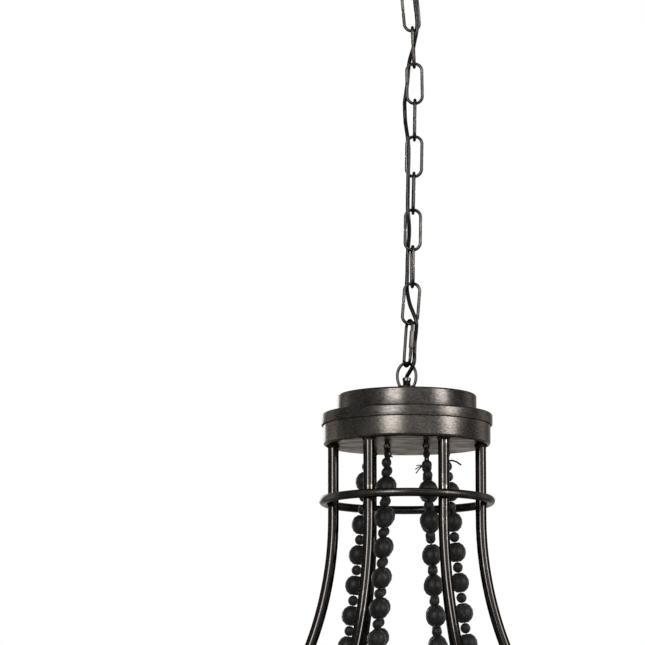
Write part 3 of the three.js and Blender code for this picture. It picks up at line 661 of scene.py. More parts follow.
def modified(piece, kind, **settings):
    """Add a modifier and apply it."""
    only(piece)
    bpy.ops.object.modifier_add(type=kind)
    modifier = piece.modifiers[-1]
    for key, value in settings.items():
        setattr(modifier, key, value)
    bpy.ops.object.modifier_apply(modifier=modifier.name)
    return piece


def eased(piece, mm, segments=2, angle=35):
    """Round the edges of a piece."""
    return modified(
        piece, "BEVEL", width=mm * MM, segments=segments, limit_method="ANGLE",
        angle_limit=math.radians(angle), use_clamp_overlap=True,
    )


def wire_along(points, radius, sides, closed=False):
    """A round wire that follows points."""
    clear()
    bpy.ops.curve.primitive_nurbs_path_add(location=(0, 0, 0))
    path = bpy.context.object.data
    path.splines.clear()
    line = path.splines.new("POLY")
    line.points.add(len(points) - 1)
    for corner, place in zip(line.points, points):
        corner.co = (*place, 1)
    line.use_cyclic_u = closed
    path.dimensions = "3D"
    path.bevel_depth = radius
    path.bevel_resolution = sides
    path.use_fill_caps = not closed
    bpy.ops.object.convert(target="MESH")
    mode("EDIT")
    tidy()
    return bpy.context.object


def circle(middle, first, second, steps):
    """Points round a middle, in the plane of two directions that are as long as the radius."""
    turns = [math.tau * step / steps for step in range(steps)]
    return [middle + first * math.cos(turn) + second * math.sin(turn) for turn in turns]


def eye_points(middle, away, radius):
    """Points of an eye that stands across the plane of its spoke."""
    return circle(middle, away * radius, Vector((0, radius, 0)), 20)


def cylinder(radius, bottom, top, sides=24, out=0.0):
    clear()
    bpy.ops.mesh.primitive_cylinder_add(
        vertices=sides, radius=radius, depth=top - bottom, location=(out, 0, (top + bottom) / 2),
    )
    bpy.ops.object.transform_apply(location=True)
    return bpy.context.object


def block(size, middle):
    clear()
    bpy.ops.mesh.primitive_cube_add(size=1, location=middle)
    bpy.context.object.scale = size
    bpy.ops.object.transform_apply(location=True, scale=True)
    return bpy.context.object


def torus(radius, wire, steps, sides, **placing):
    clear()
    bpy.ops.mesh.primitive_torus_add(
        major_radius=radius, minor_radius=wire, major_segments=steps, minor_segments=sides, **placing,
    )
    bpy.ops.object.transform_apply(location=True, rotation=True)
    return bpy.context.object


def oval(bend, wire, straight):
    """A wire ring in the XZ plane, stretched by a straight length between its halves."""
    steps = 28
    ring = torus(bend, wire, steps, 12, rotation=(math.pi / 2, 0, 0))
    moved(ring, Matrix.Rotation(math.pi / steps, 4, "Y"))
    pull_apart(2, straight)
    return ring


def lump(radius, place, stretch, segments=12, rings=8):
    """A rounded lump such as a weld or a knot, pushed out of round."""
    clear()
    bpy.ops.mesh.primitive_uv_sphere_add(segments=segments, ring_count=rings, radius=radius, location=place)
    piece = bpy.context.object
    piece.scale = stretch
    bpy.ops.object.transform_apply(location=False, rotation=False, scale=True)
    mode("EDIT")
    bpy.ops.mesh.select_all(action="SELECT")
    bpy.ops.transform.vertex_random(offset=radius * 0.09, uniform=0.3, seed=3)
    tidy()
    bpy.ops.object.transform_apply(location=True)
    return piece


def merged(*pieces):
    """Join pieces into the first."""
    only(pieces[0])
    for piece in pieces:
        piece.select_set(True)
    bpy.ops.object.join()
    return bpy.context.object


def moved(piece, matrix):
    """Put a piece in its place, with its object left at the origin."""
    only(piece)
    piece.matrix_world = matrix @ piece.matrix_world
    bpy.ops.object.transform_apply(location=True, rotation=True, scale=True)
    return piece


def shifted(piece, x=0.0, z=0.0):
    return moved(piece, Matrix.Translation((x, 0, z)))


def deleted(piece):
    only(piece)
    bpy.ops.object.delete()


def drilled(piece, tool):
    """Cut a tool's shape out of a piece."""
    modified(piece, "BOOLEAN", operation="DIFFERENCE", object=tool, solver="EXACT")
    deleted(tool)
    return piece


def threaded(radius, bore, bottom, top, pitch=1.0 * MM, depth=0.35 * MM):
    """A tube with thread ridges outside."""
    root = radius - depth
    outline = [(bore, bottom), (root, bottom)]
    ridges = int((top - bottom) / pitch)
    for ridge in range(ridges):
        start = bottom + (top - bottom) * ridge / ridges
        outline += [(radius, start + pitch / 2), (root, start + pitch)]
    outline[-1] = (root, top)
    return turned([*outline, (bore, top)], 32)


def hex_nut(bore, bottom, top):
    """A chamfered hexagon nut."""
    nut = eased(cylinder(NUT_RADIUS, bottom, top, 6), 0.45, 2, 50)
    return drilled(nut, cylinder(bore, bottom - MM, top + MM))


def finished(piece, name, body, material, slot=None, node=None, angle=40):
    """Name, shade and paint a piece, let it ride on its body and hide the part of the model that it stands
    for.
    """
    only(piece)
    bpy.ops.object.transform_apply(location=True, rotation=True, scale=True)
    bpy.ops.object.shade_smooth_by_angle(angle=math.radians(angle))
    piece.name = piece.data.name = name
    if not any(piece.data.materials):
        piece.data.materials.clear()
        piece.data.materials.append(shared(material))
    if body:
        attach(piece, body)
    if node:
        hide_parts(node)


def spoke(number):
    """Turn about the axis to the place of an arm, counted from 1."""
    return Matrix.Rotation(math.tau * (number - 1) / ARMS, 4, "Z")


def copied(piece, matrix):
    """A copy of a piece with a mesh of its own, put in place."""
    only(piece)
    bpy.ops.object.duplicate()
    return moved(bpy.context.object, matrix)


def on_spokes(pattern, name, body, material, slot=None, node="", angle=40):
    """Leave a finished copy of a pattern on each spoke. In names, {} stands for the arm's number."""
    for number in range(1, ARMS + 1):
        piece = copied(pattern, spoke(number))
        names = [text.format(number) for text in (name, body, node)]
        finished(piece, *names[:2], material, slot, names[2], angle)
    deleted(pattern)


# Places that several pieces need


def centre_of(node):
    low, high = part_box(node)
    return (low + high) / 2


def span(node):
    """Heights of a solid's lowest and highest points."""
    low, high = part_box(node)
    return low.z, high.z


def drum_bottom():
    """Height of the pan's underside, which the upper hoop's place gives."""
    return centre_of("upper_hoop").z + bpy.context.scene.chandelier_arms.hoop_drop


def bent(middle, radius, start, end, steps):
    """Points of an arc in the plane of a spoke, after its first. Angles count from inwards to downwards."""
    turns = [start + (end - start) * step / steps for step in range(1, steps + 1)]
    return [middle - radius * Vector((math.cos(turn), 0, math.sin(turn))) for turn in turns]


def arm_line():
    """Points of an arm's centre line in the plane of its spoke, from inside the pan to the upturned end."""
    sizes = bpy.context.scene.chandelier_arms
    top = drum_bottom() + ARM_INSIDE
    bend_start = drum_bottom() - sizes.straight
    heights = (top, (top + bend_start) / 2, bend_start)
    points = [Vector((sizes.circle, 0, height)) for height in heights]
    lean = Vector((sizes.circle + sizes.spread, 0, bend_start))
    points += bent(lean, sizes.spread, 0, sizes.bend, BEND_STEPS)
    back = points[-1] - sizes.back * Vector((math.cos(sizes.bend), 0, math.sin(sizes.bend)))
    points += bent(back, -sizes.back, sizes.bend, 0, BACK_STEPS)
    middle = points[-1] + Vector((sizes.hook, 0, 0))
    return points + bent(middle, sizes.hook, 0, math.pi, BEND_STEPS), middle


def candle_place():
    """Distance from the axis and height of the arm's end."""
    _, middle = arm_line()
    return middle.x + bpy.context.scene.chandelier_arms.hook, middle.z


class Hanging:
    """The curve that a strand hangs in, in the plane of its spoke, and the hooks at its ends."""

    def __init__(self):
        sizes = bpy.context.scene.chandelier_beads
        self.scale = sizes.scale
        self.low = drum_bottom() - sizes.low_drop
        rise = drum_bottom() - LOOP_DROP - self.low
        self.low_radius = sizes.top_radius + self.scale * math.acosh(1 + rise / self.scale)
        self.eye = sizes.eye
        self.first = sizes.top_radius
        self.last = self.end_radius()

    def height(self, radius):
        return self.low + self.scale * (math.cosh((radius - self.low_radius) / self.scale) - 1)

    def arc(self, radius):
        return self.scale * math.sinh((radius - self.low_radius) / self.scale)

    def at(self, arc):
        """Place and direction at a distance along the curve."""
        radius = self.low_radius + self.scale * math.asinh(arc / self.scale)
        return Vector((radius, 0, self.height(radius))), Vector((1, 0, arc / self.scale)).normalized()

    def hook(self, radius, side):
        """The strand's own loop, the eye that carries it, and the way from one to the other."""
        slope = math.sinh((radius - self.low_radius) / self.scale)
        away = Vector((side, 0, side * slope)).normalized()
        loop = Vector((radius, 0, self.height(radius)))
        return loop, loop + away * (2 * self.eye - HOOK_OVERLAP), away

    def end_radius(self):
        """Where the eye stands just inside the arm."""
        points, middle = arm_line()
        tube = bpy.context.scene.chandelier_arms.radius
        inner, outer = self.low_radius, middle.x
        for _ in range(30):
            radius = (inner + outer) / 2
            _, eye, _ = self.hook(radius, 1)
            below = next(i for i, point in enumerate(points) if point.z <= eye.z)
            upper, lower = points[below - 1], points[below]
            share = (upper.z - eye.z) / (upper.z - lower.z)
            arm = upper.x + share * (lower.x - upper.x)
            room = arm - eye.x - tube - self.eye - EYE_GAP
            inner, outer = (radius, outer) if room > 0 else (inner, radius)
        return inner


# The cord's route, with the same points as the solid's. Each has its x and y in link widths and then its
# height: as a share of the way down to the first link, as a link and the share of the way to the next, and
# as a share of the way from the last link to the bushing

CORD_RING = [
    (0, 0, 0.015), (0, 0, 0.247), (0, 0, 0.463), (0.022, -0.022, 0.586), (0.13, -0.13, 0.709),
    (0.249, -0.292, 0.833), (0.303, -0.357, 0.956),
]
CORD_CHAIN = [
    (0.32, -0.324, 0.193), (0.37, -0.238, 0.516), (0.456, -0.238, 0.867), (0.516, -0.249, 1.216),
    (0.596, -0.249, 1.592), (0.628, -0.259, 1.888), (0.573, -0.227, 2.102), (0.48, -0.119, 2.317),
    (0.397, 0, 2.505), (0.271, 0.119, 2.692), (0.188, 0.227, 2.853), (0.148, 0.259, 3.014),
    (0.09, 0.254, 3.363), (0, 0.249, 3.711), (-0.068, 0.195, 3.953), (-0.062, 0.097, 4.167),
    (-0.039, 0, 4.462), (0.029, -0.13, 4.73), (0.098, -0.238, 4.971), (0.141, -0.254, 5.24),
    (0.137, -0.249, 5.615), (0.114, -0.254, 5.937), (0.102, -0.216, 6.312), (0.09, -0.227, 6.687),
    (0.093, -0.254, 6.955), (0.138, -0.184, 7.197), (0.163, -0.032, 7.438), (0.139, 0.146, 7.679),
    (0.093, 0.259, 7.921), (0.058, 0.249, 8.242), (0.043, 0.238, 8.618), (0.019, 0.259, 8.939),
    (0.07, 0.151, 9.208), (0.186, 0, 9.477), (0.362, -0.141, 9.719), (0.522, -0.254, 9.947),
    (0.52, -0.2, 10.153), (0.445, -0.103, 10.435), (0.417, -0.162, 10.693), (0.41, -0.27, 10.88),
]
CORD_LOOP = [(0.319, -0.238, 0.076), (0.141, -0.103, 0.542), (0.011, -0.005, 0.881)]


def cord_route():
    """The points that the cord passes, from the ceiling into the cap."""
    width = bpy.context.scene.chandelier_chain.link_width
    bushing = span("cord_bushing")[1]
    stages = [(x, y, 0.0, PIVOTS[0].z, share) for x, y, share in CORD_RING]
    for x, y, place in CORD_CHAIN:
        link = int(place)
        stages.append((x, y, PIVOTS[link].z, PIVOTS[link + 1].z, place - link))
    stages += [(x, y, PIVOTS[-1].z, bushing, share) for x, y, share in CORD_LOOP]
    route = [
        Vector((x * width, y * width, start + share * (end - start))) for x, y, start, end, share in stages
    ]
    ends = [span("stem_tube")[1], span("cap_upper_tier")[1], span("power_cord")[0]]
    return route + [Vector((0, 0, height)) for height in ends]


def between(first, last, start, end, now):
    """The point between two that are passed at a start and an end time."""
    return first * ((end - now) / (end - start)) + last * ((now - start) / (end - start))


def smooth_route(points, parts):
    """A centripetal curve through points, with a number of parts between each two."""
    padded = [2 * points[0] - points[1], *points, 2 * points[-1] - points[-2]]
    curve = []
    for four in zip(padded, padded[1:], padded[2:], padded[3:]):
        times = [0.0]
        for here, there in zip(four, four[1:]):
            times.append(times[-1] + (there - here).length ** 0.5)
        for part in range(parts):
            now = times[1] + (times[2] - times[1]) * part / parts
            threes = [between(*four[i:i + 2], *times[i:i + 2], now) for i in range(3)]
            twos = [between(*threes[i:i + 2], times[i], times[i + 2], now) for i in range(2)]
            curve.append(between(*twos, *times[1:3], now))
    return curve + [points[-1].copy()]


# Operators: the stage, then the pieces from the ceiling down

CAMERA_PLACE, LENS = (0.049, -4.0, -1.05), 226.8
CAMERA_HEADING, CAMERA_TILT = math.radians(1.9), math.radians(98.73)
FLOOR_SIZE, FLOOR_HEIGHT, FLOOR_SHADES = 30, -1.5, (0.58, 0.62)
# Where it is seen, the floor glows by a share near the axis, which rises to white between two distances
FLOOR_GLOW, FLOOR_FADE = 0.35, (1.0, 3.5)
TOP_LAMP_AIM = -0.5
# How bright the white surroundings are where they light a surface and where they are seen
WORLD_LIGHT, WORLD_SEEN = 0.35, 1.0
# Lamps: turn in degrees, distance, height, width, length and radiance, and whether a lamp shows in
# reflections alone (True), lights matt surfaces alone (False) or does both (None)
LAMPS = {
    "strip_left": (-20, 4.2, 0.75, 1.45, 2.8, 44, True),
    "strip_right": (60, 4.2, 0.75, 1.25, 2.8, 45, True),
    "soft_left": (-20, 4.2, 0.75, 1.45, 2.8, 5, False),
    "soft_right": (60, 4.2, 0.75, 1.25, 2.8, 5, False),
    "panel_behind": (22, 4.9, 0.1, 2.6, 2.6, 2.6, None),
    "edge_left": (-122, 2.2, -0.3, 0.9, 2.0, 4.0, None),
    "edge_right": (124, 2.2, -0.3, 0.9, 2.0, 4.0, None),
    "back": (203, 4.2, 0.2, 1.0, 1.7, 8, True),
    "top": (20, 1.0, 1.6, 1.4, 1.4, 3, True),
}


class CHANDELIER_OT_stage(bpy.types.Operator):
    """Set up the camera, the soft lamps, the white surroundings and the floor"""

    bl_idname = "chandelier.stage"
    bl_label = "Stage"

    def execute(self, context):
        self.camera(context.scene)
        self.lamps(context.scene)
        self.surroundings(context.scene)
        self.floor()
        return {"FINISHED"}

    @staticmethod
    def camera(scene):
        data = bpy.data.cameras.new("view_from_below")
        data.lens, data.sensor_width, data.clip_end = LENS, 36, 50
        camera = bpy.data.objects.new("view_from_below", data)
        scene.collection.objects.link(camera)
        camera.location = CAMERA_PLACE
        camera.rotation_mode = "QUATERNION"
        turn = Matrix.Rotation(CAMERA_HEADING, 4, "Z") @ Matrix.Rotation(CAMERA_TILT, 4, "X")
        camera.rotation_quaternion = turn.to_quaternion()
        scene.camera = camera

    @staticmethod
    def lamps(scene):
        """Lamps that look level at the axis, and one above it that looks down at the chain."""
        for name, (turn, distance, height, wide, high, radiance, shine) in LAMPS.items():
            data = bpy.data.lights.new(name, "AREA")
            data.shape, data.size, data.size_y = "RECTANGLE", wide, high
            data.energy = radiance * math.pi * wide * high
            lamp = bpy.data.objects.new(name, data)
            scene.collection.objects.link(lamp)
            if shine is not None:
                lamp.visible_diffuse = not shine
                lamp.visible_glossy = lamp.visible_transmission = shine
            side = math.radians(turn)
            lamp.location = (distance * math.sin(side), -distance * math.cos(side), height)
            aim = Vector((0, 0, TOP_LAMP_AIM if name == "top" else height))
            lamp.rotation_mode = "QUATERNION"
            lamp.rotation_quaternion = (aim - lamp.location).to_track_quat("-Z", "Y")

    @staticmethod
    def surroundings(scene):
        """White where it is seen or reflected, and dimmer where it lights a surface."""
        world = bpy.data.worlds.new("white_surroundings")
        world.use_nodes = True
        tree = world.node_tree
        rays = tree.nodes.new("ShaderNodeLightPath")
        seen = rays.outputs["Is Camera Ray"]
        for kind in ("Is Glossy Ray", "Is Transmission Ray"):
            either = tree.nodes.new("ShaderNodeMath")
            either.operation = "MAXIMUM"
            tree.links.new(seen, either.inputs[0])
            tree.links.new(rays.outputs[kind], either.inputs[1])
            seen = either.outputs[0]
        level = tree.nodes.new("ShaderNodeMapRange")
        level.inputs["To Min"].default_value = WORLD_LIGHT
        level.inputs["To Max"].default_value = WORLD_SEEN
        tree.links.new(seen, level.inputs["Value"])
        background = tree.nodes["Background"]
        background.inputs["Color"].default_value = (1, 1, 1, 1)
        tree.links.new(level.outputs["Result"], background.inputs["Strength"])
        scene.world = world
        scene.view_settings.view_transform = "Standard"

    @staticmethod
    def floor():
        """A pale floor that runs out into the white surroundings."""
        clear()
        bpy.ops.mesh.primitive_plane_add(size=FLOOR_SIZE, location=(0, 0, FLOOR_HEIGHT))
        floor = bpy.context.object
        floor.name = "floor"
        finish = Finish("pale_floor", Roughness=0.9, **{"Emission Strength": 1.0})
        rays = finish.node("ShaderNodeLightPath")
        seen = rays.out("Is Camera Ray") + rays.out("Is Glossy Ray") + rays.out("Is Transmission Ray")
        pale = seen * (finish.distance().clamped(*FLOOR_FADE) * (1 - FLOOR_GLOW) + FLOOR_GLOW)
        finish.feed({
            "Base Color": finish.blend(finish.noise(3.0), *((shade,) * 3 for shade in FLOOR_SHADES)),
            "Emission Color": finish.blend(pale, (0.0, 0.0, 0.0), (1.0, 1.0, 1.0)),
        })
        floor.data.materials.append(finish.material)


class CHANDELIER_OT_cord(bpy.types.Operator):
    """Lay the supply cord through the links, one stretch for each joint of the chain"""

    bl_idname = "chandelier.cord"
    bl_label = "Supply cord"

    def execute(self, context):
        radius = context.scene.chandelier_cord.radius
        line = smooth_route(cord_route(), 7)
        cuts = [0]
        for above, below in zip(PIVOTS, PIVOTS[1:]):
            height = (above.z + below.z) / 2
            cuts.append(min(range(len(line)), key=lambda place: abs(line[place].z - height)))
        cuts.append(len(line) - 1)
        for number, (first, last) in enumerate(zip(cuts, cuts[1:])):
            piece = wire_along(line[first:last + 1], radius, 4)
            finished(piece, f"power_cord_{number + 1:02d}", None, cord_sheath, "cord_cover", angle=60)
            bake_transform(piece)
            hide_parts("power_cord")
        return {"FINISHED"}


class CHANDELIER_OT_ceiling(bpy.types.Operator):
    """Make the slotted bar, the threaded tube, its nut and the ring that the chain hangs from"""

    bl_idname = "chandelier.ceiling"
    bl_label = "Ceiling fittings"

    def execute(self, context):
        sizes = context.scene.chandelier_ceiling
        self.bar(sizes)
        tube = threaded(TUBE_RADIUS, TUBE_BORE, *span("ceiling_nipple"))
        finished(tube, "threaded_tube", "root", zinc_steel, "plated_steel", "ceiling_nipple", 50)
        nut = hex_nut(TUBE_HOLE, *span("crossbar_nut"))
        finished(nut, "lock_nut", "root", zinc_steel, "plated_steel", "crossbar_nut")
        self.ring(sizes)
        return {"FINISHED"}

    @staticmethod
    def bar(sizes):
        size = (sizes.bar_length, sizes.bar_width, sizes.bar_thickness)
        bar = eased(block(size, (0, 0, -sizes.bar_thickness / 2)), 0.5)
        for side in (-1, 1):
            slot = cylinder(sizes.slot_width / 2, -CUT_REACH, CUT_REACH)
            pull_apart(0, (sizes.slot_length - sizes.slot_width) / 2)
            drilled(bar, shifted(slot, side * sizes.slot_radius))
        drilled(bar, cylinder(TUBE_HOLE, -CUT_REACH, CUT_REACH))
        finished(bar, "slotted_bar", "root", zinc_steel, "plated_steel", "ceiling_crossbar", 30)

    @staticmethod
    def ring(sizes):
        hub = eased(turned(profile(0, CEILING_HUB), 48), 0.4)
        bottom, _ = span("canopy_loop")
        bend = (sizes.ring_width - sizes.ring_wire) / 2
        ring = oval(bend, sizes.ring_wire / 2, (RING_TOP - bottom - sizes.ring_width) / 2)
        shifted(ring, z=(RING_TOP + bottom) / 2)
        welds = [lump(2.6 * MM, (side * bend * 0.82, 0, RING_WELD), (1, 1, 0.6)) for side in (-1, 1)]
        ring = merged(hub, ring, *welds)
        finished(ring, "ceiling_ring", "root", rubbed_chain_iron, "chain_iron", "canopy_loop")


class CHANDELIER_OT_canopy(bpy.types.Operator):
    """Spin the ceiling canopy and the ring nut that holds it up"""

    bl_idname = "chandelier.canopy"
    bl_label = "Canopy"

    def execute(self, context):
        sizes = context.scene.chandelier_ceiling
        radius, height, hole = sizes.canopy_radius, sizes.canopy_height, sizes.canopy_hole
        outer = [*((share * radius, -drop * height) for share, drop in CANOPY_SHARES), (hole, -height)]
        inner = []
        for number, (out, z) in enumerate(outer):
            lift = CANOPY_WALL * number / len(outer)
            inner.append((out - CANOPY_WALL + lift, z + lift))
        inner[-1] = (hole, -height + CANOPY_WALL)
        shell = eased(turned([*outer, *reversed(inner)], 96), 0.25, 2, 50)
        finished(shell, "canopy_dish", "canopy", brushed_cap_iron, "dark_iron", "ceiling_canopy")
        low, high = span("collar_nut")
        grip = turned(profile(high, COLLAR_TOP) + profile(low, COLLAR_BOTTOM), COLLAR_STEPS)
        mode("EDIT")
        pick(self.grooved)
        bpy.ops.transform.resize(value=(COLLAR_GROOVE, COLLAR_GROOVE, 1), center_override=(0, 0, 0))
        mode("OBJECT")
        finished(grip, "knurled_collar", "collar", brushed_cap_iron, "dark_iron", "collar_nut", 25)
        return {"FINISHED"}

    @staticmethod
    def grooved(place):
        """Whether a corner of the ring nut lies on its rim and on every second step round it."""
        step = math.atan2(place.y, place.x) / math.tau * COLLAR_STEPS
        return place.xy.length > COLLAR_RIM and round(step) % 2 == 0


class CHANDELIER_OT_chain(bpy.types.Operator):
    """Bend the oval links, each with its butt seam, and hang them in turn"""

    bl_idname = "chandelier.chain"
    bl_label = "Chain links"

    def execute(self, context):
        sizes = context.scene.chandelier_chain
        pattern = self.wire(sizes, sizes.link_length)
        self.seam(sizes.seam, sizes.wire)
        shifted(pattern, z=(sizes.link_length - sizes.wire) / 2)
        for number in range(1, LINKS):
            turn = math.pi if number % 2 == 0 else -math.pi / 2 + math.radians(LINK_TURNS[number // 2])
            body = f"link_{number:02d}"
            piece = copied(pattern, self.place(number, turn))
            finished(piece, f"{body}_wire", body, rubbed_chain_iron, "chain_iron", f"chain_{body}")
        deleted(pattern)
        self.quick_link(sizes)
        return {"FINISHED"}

    @staticmethod
    def place(number, turn):
        """From a link upright at the origin, on its lower wire's centre, to its place in the chain."""
        below, above = PIVOTS[number], PIVOTS[number - 1]
        lean = UP.rotation_difference((above - below).normalized()).to_matrix().to_4x4()
        return Matrix.Translation(below) @ lean @ Matrix.Rotation(turn, 4, "Z")

    @staticmethod
    def wire(sizes, outside):
        """A link's wire round the origin."""
        straight = (outside - sizes.link_width) / 2
        return oval((sizes.link_width - sizes.wire) / 2, sizes.wire / 2, straight)

    @staticmethod
    def seam(width, wire):
        """Press a narrow groove with sloping sides round one leg at its middle."""
        slope_end, depth = 1.6 * width, 0.22 * wire
        mode("EDIT")
        for height in (-slope_end, -width / 2, width / 2, slope_end):
            bpy.ops.mesh.select_all(action="SELECT")
            bpy.ops.mesh.bisect(plane_co=(0, 0, height), plane_no=(0, 0, 1))
        pick(lambda place: abs(place.z) < 0.6 * width and place.x > 0)
        bpy.ops.transform.shrink_fatten(value=-depth)
        mode("OBJECT")

    def quick_link(self, sizes):
        """The longer end link: a bare sleeve nut and a stretch of bright thread close one leg."""
        leg = -(sizes.link_width - sizes.wire) / 2
        middle = (sizes.quick_length - sizes.wire) / 2
        ring = shifted(self.wire(sizes, sizes.quick_length), z=middle)
        low = middle - sizes.sleeve_length / 2 + sizes.sleeve_raise
        sleeve = eased(cylinder(sizes.sleeve_radius, low, low + sizes.sleeve_length, 6, leg), 0.35, 3, 50)
        thread = threaded(*QUICK_THREAD, low - QUICK_THREAD_SHOWN, low + MM, *QUICK_PITCH)
        shifted(thread, leg)
        body, place = f"link_{LINKS:02d}", self.place(LINKS, math.pi / 2 + sizes.quick_turn)
        for piece in (ring, sleeve, thread):
            moved(piece, place)
        finished(ring, "quick_link_wire", body, blackened_iron, "chain_iron", f"chain_{body}")
        finished(sleeve, "quick_link_sleeve", body, zinc_steel, "plated_steel", angle=30)
        finished(thread, "quick_link_thread", body, zinc_steel, "plated_steel", angle=50)


class CHANDELIER_OT_loop(bpy.types.Operator):
    """Make the egg-shaped loop on the cap, the bright bushing and the threaded stem"""

    bl_idname = "chandelier.loop"
    bl_label = "Loop and stem"

    def execute(self, context):
        sizes = context.scene.chandelier_cap
        low, high = span("fixture_loop")
        reach = (sizes.loop_width - sizes.loop_wire) / 2
        centre = high - sizes.loop_wire / 2 - sizes.loop_upper
        points = []
        for step in range(48):
            turn = math.tau * step / 48
            rise = sizes.loop_upper if step < 24 else sizes.loop_lower
            points.append(Vector((reach * math.cos(turn), 0, centre + rise * math.sin(turn))))
        ring = wire_along(points, sizes.loop_wire / 2, 4, closed=True)
        hub = eased(turned(profile(low, LOOP_HUB), 40), 0.35)
        finished(merged(ring, hub), "cap_loop", "fixture", blackened_iron, "chain_iron", "fixture_loop")
        low, high = span("cord_bushing")
        bush = turned(profile(low, BUSHING_BOTTOM) + profile(high, BUSHING_TOP), 40)
        finished(bush, "bright_bushing", "fixture", worn_thread, "plated_steel", "cord_bushing")
        stem = threaded(STEM_RADIUS, STEM_BORE, *span("stem_tube"))
        finished(stem, "threaded_stem", "fixture", worn_thread, "plated_steel", "stem_tube", 50)
        nut = hex_nut(STEM_HOLE, *span("stem_nut"))
        finished(nut, "stem_lock_nut", "fixture", zinc_steel, "plated_steel", "stem_nut")
        return {"FINISHED"}


class CHANDELIER_OT_cap(bpy.types.Operator):
    """Spin the two-tier cap and its pan, and bend the strap inside"""

    bl_idname = "chandelier.cap"
    bl_label = "Cap"

    def execute(self, context):
        sizes = context.scene.chandelier_cap
        self.cover("cap_tier", "cap_upper_tier", STEM_HOLE, sizes.tier_radius, sizes.wall, 0.7)
        self.cover("cap_lid", "cap_flange", sizes.flange_inner, sizes.flange_radius, sizes.wall, 0.6)
        self.pan(sizes)
        self.inside()
        return {"FINISHED"}

    @staticmethod
    def cover(name, node, hole, radius, wall, edge):
        """A round sheet with a hole in its middle and its rim bent down."""
        bottom, top = span(node)
        shell = turned([
            (hole, top), (radius - wall, top), (radius, top - wall), (radius, bottom),
            (radius - wall, bottom), (radius - wall, top - wall), (hole, top - wall),
        ], CAP_STEPS)
        eased(shell, edge, 3, 30)
        finished(shell, name, "fixture", brushed_cap_iron, "dark_iron", node)

    @staticmethod
    def pan(sizes):
        bottom, wall, radius, edge = drum_bottom(), sizes.wall, sizes.drum_radius, sizes.drum_edge
        _, top = span("cap_drum")
        rings = [(share * radius, bottom) for share in (0.3, 0.6, 0.85)]
        corner = []
        for step in range(6):
            turn = math.radians(18 * step)
            corner.append((radius - edge * (1 - math.sin(turn)), bottom + edge * (1 - math.cos(turn))))
        shell = turned([
            (0, bottom), *rings, *corner, (radius, top), (radius - wall, top),
            (radius - wall, bottom + edge), (radius - edge, bottom + wall), (0, bottom + wall),
        ], CAP_STEPS)
        shell.data.materials.append(shared(brushed_drum_iron))
        shell.data.materials.append(shared(brushed_underside))
        shell.active_material_index = 1
        mode("EDIT")
        pick_faces(lambda face: face.normal.z < -0.97 and face.calc_center_median().z < bottom + 0.1 * MM)
        bpy.ops.object.material_slot_assign()
        mode("OBJECT")
        finished(shell, "cap_pan", "fixture", brushed_drum_iron, "dark_iron", "cap_drum", 50)

    @staticmethod
    def inside():
        low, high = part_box("cap_strap")
        strap = block(high - low, (low + high) / 2)
        mode("EDIT")
        bpy.ops.mesh.select_mode(type="FACE")
        pick_faces(lambda face: abs(face.normal.x) > 0.9 or face.normal.z < -0.9)
        bpy.ops.mesh.delete(type="FACE")
        bpy.ops.mesh.select_mode(type="VERT")
        mode("OBJECT")
        modified(strap, "SOLIDIFY", thickness=STRAP_WALL, offset=-1)
        eased(strap, 0.8, 2, 50)
        drilled(strap, cylinder(STEM_HOLE, high.z - 4 * MM, high.z + 4 * MM))
        finished(strap, "cap_inner_strap", "fixture", zinc_steel, "plated_steel", "cap_strap", 30)
        low, high = span("wire_connector")
        ridged = turned(profile(low, SPLICE_BOTTOM) + profile(high, SPLICE_TOP), 16)
        finished(ridged, "splice_cap", "fixture", splice_plastic, "splice_cap", "wire_connector", 20)


class CHANDELIER_OT_arms(bpy.types.Operator):
    """Bend the six tube arms with their lock nuts, tips and strand eyes"""

    bl_idname = "chandelier.arms"
    bl_label = "Arms"

    def execute(self, context):
        sizes = context.scene.chandelier_arms
        points, _ = arm_line()
        tube = wire_along(points, sizes.radius, 6)
        seat = drum_bottom() + context.scene.chandelier_cap.wall + FIT
        lock = eased(cylinder(ARM_NUT_RADIUS, seat, seat + ARM_NUT_HEIGHT, 6, sizes.circle), 0.4, 2, 50)
        collar = shifted(turned(profile(drum_bottom(), ARM_COLLAR, sizes.radius), 28), sizes.circle)
        radius, height = candle_place()
        tip = shifted(threaded(*ARM_TIP, height - ARM_TIP_BELOW, height + ARM_TIP_ABOVE), radius)
        pattern = merged(tube, lock, collar, tip, *self.eye())
        on_spokes(pattern, "arm_{}_tube", "fixture", blackened_iron, "dark_iron", "arm_{}")
        return {"FINISHED"}

    @staticmethod
    def eye():
        """The eye on the arm: a wire ring on a short foot."""
        hanging = Hanging()
        _, eye, away = hanging.hook(hanging.last, 1)
        foot = eye + away * hanging.eye
        return [
            wire_along(eye_points(eye, away, hanging.eye), EYE_WIRE, 2, closed=True),
            wire_along([foot, foot + Vector((EYE_FOOT, 0, 0))], EYE_WIRE, 2),
            lump(EYE_WELD, foot + Vector((EYE_WELD_PLACE, 0, 0)), (1, 0.9, 0.8)),
        ]


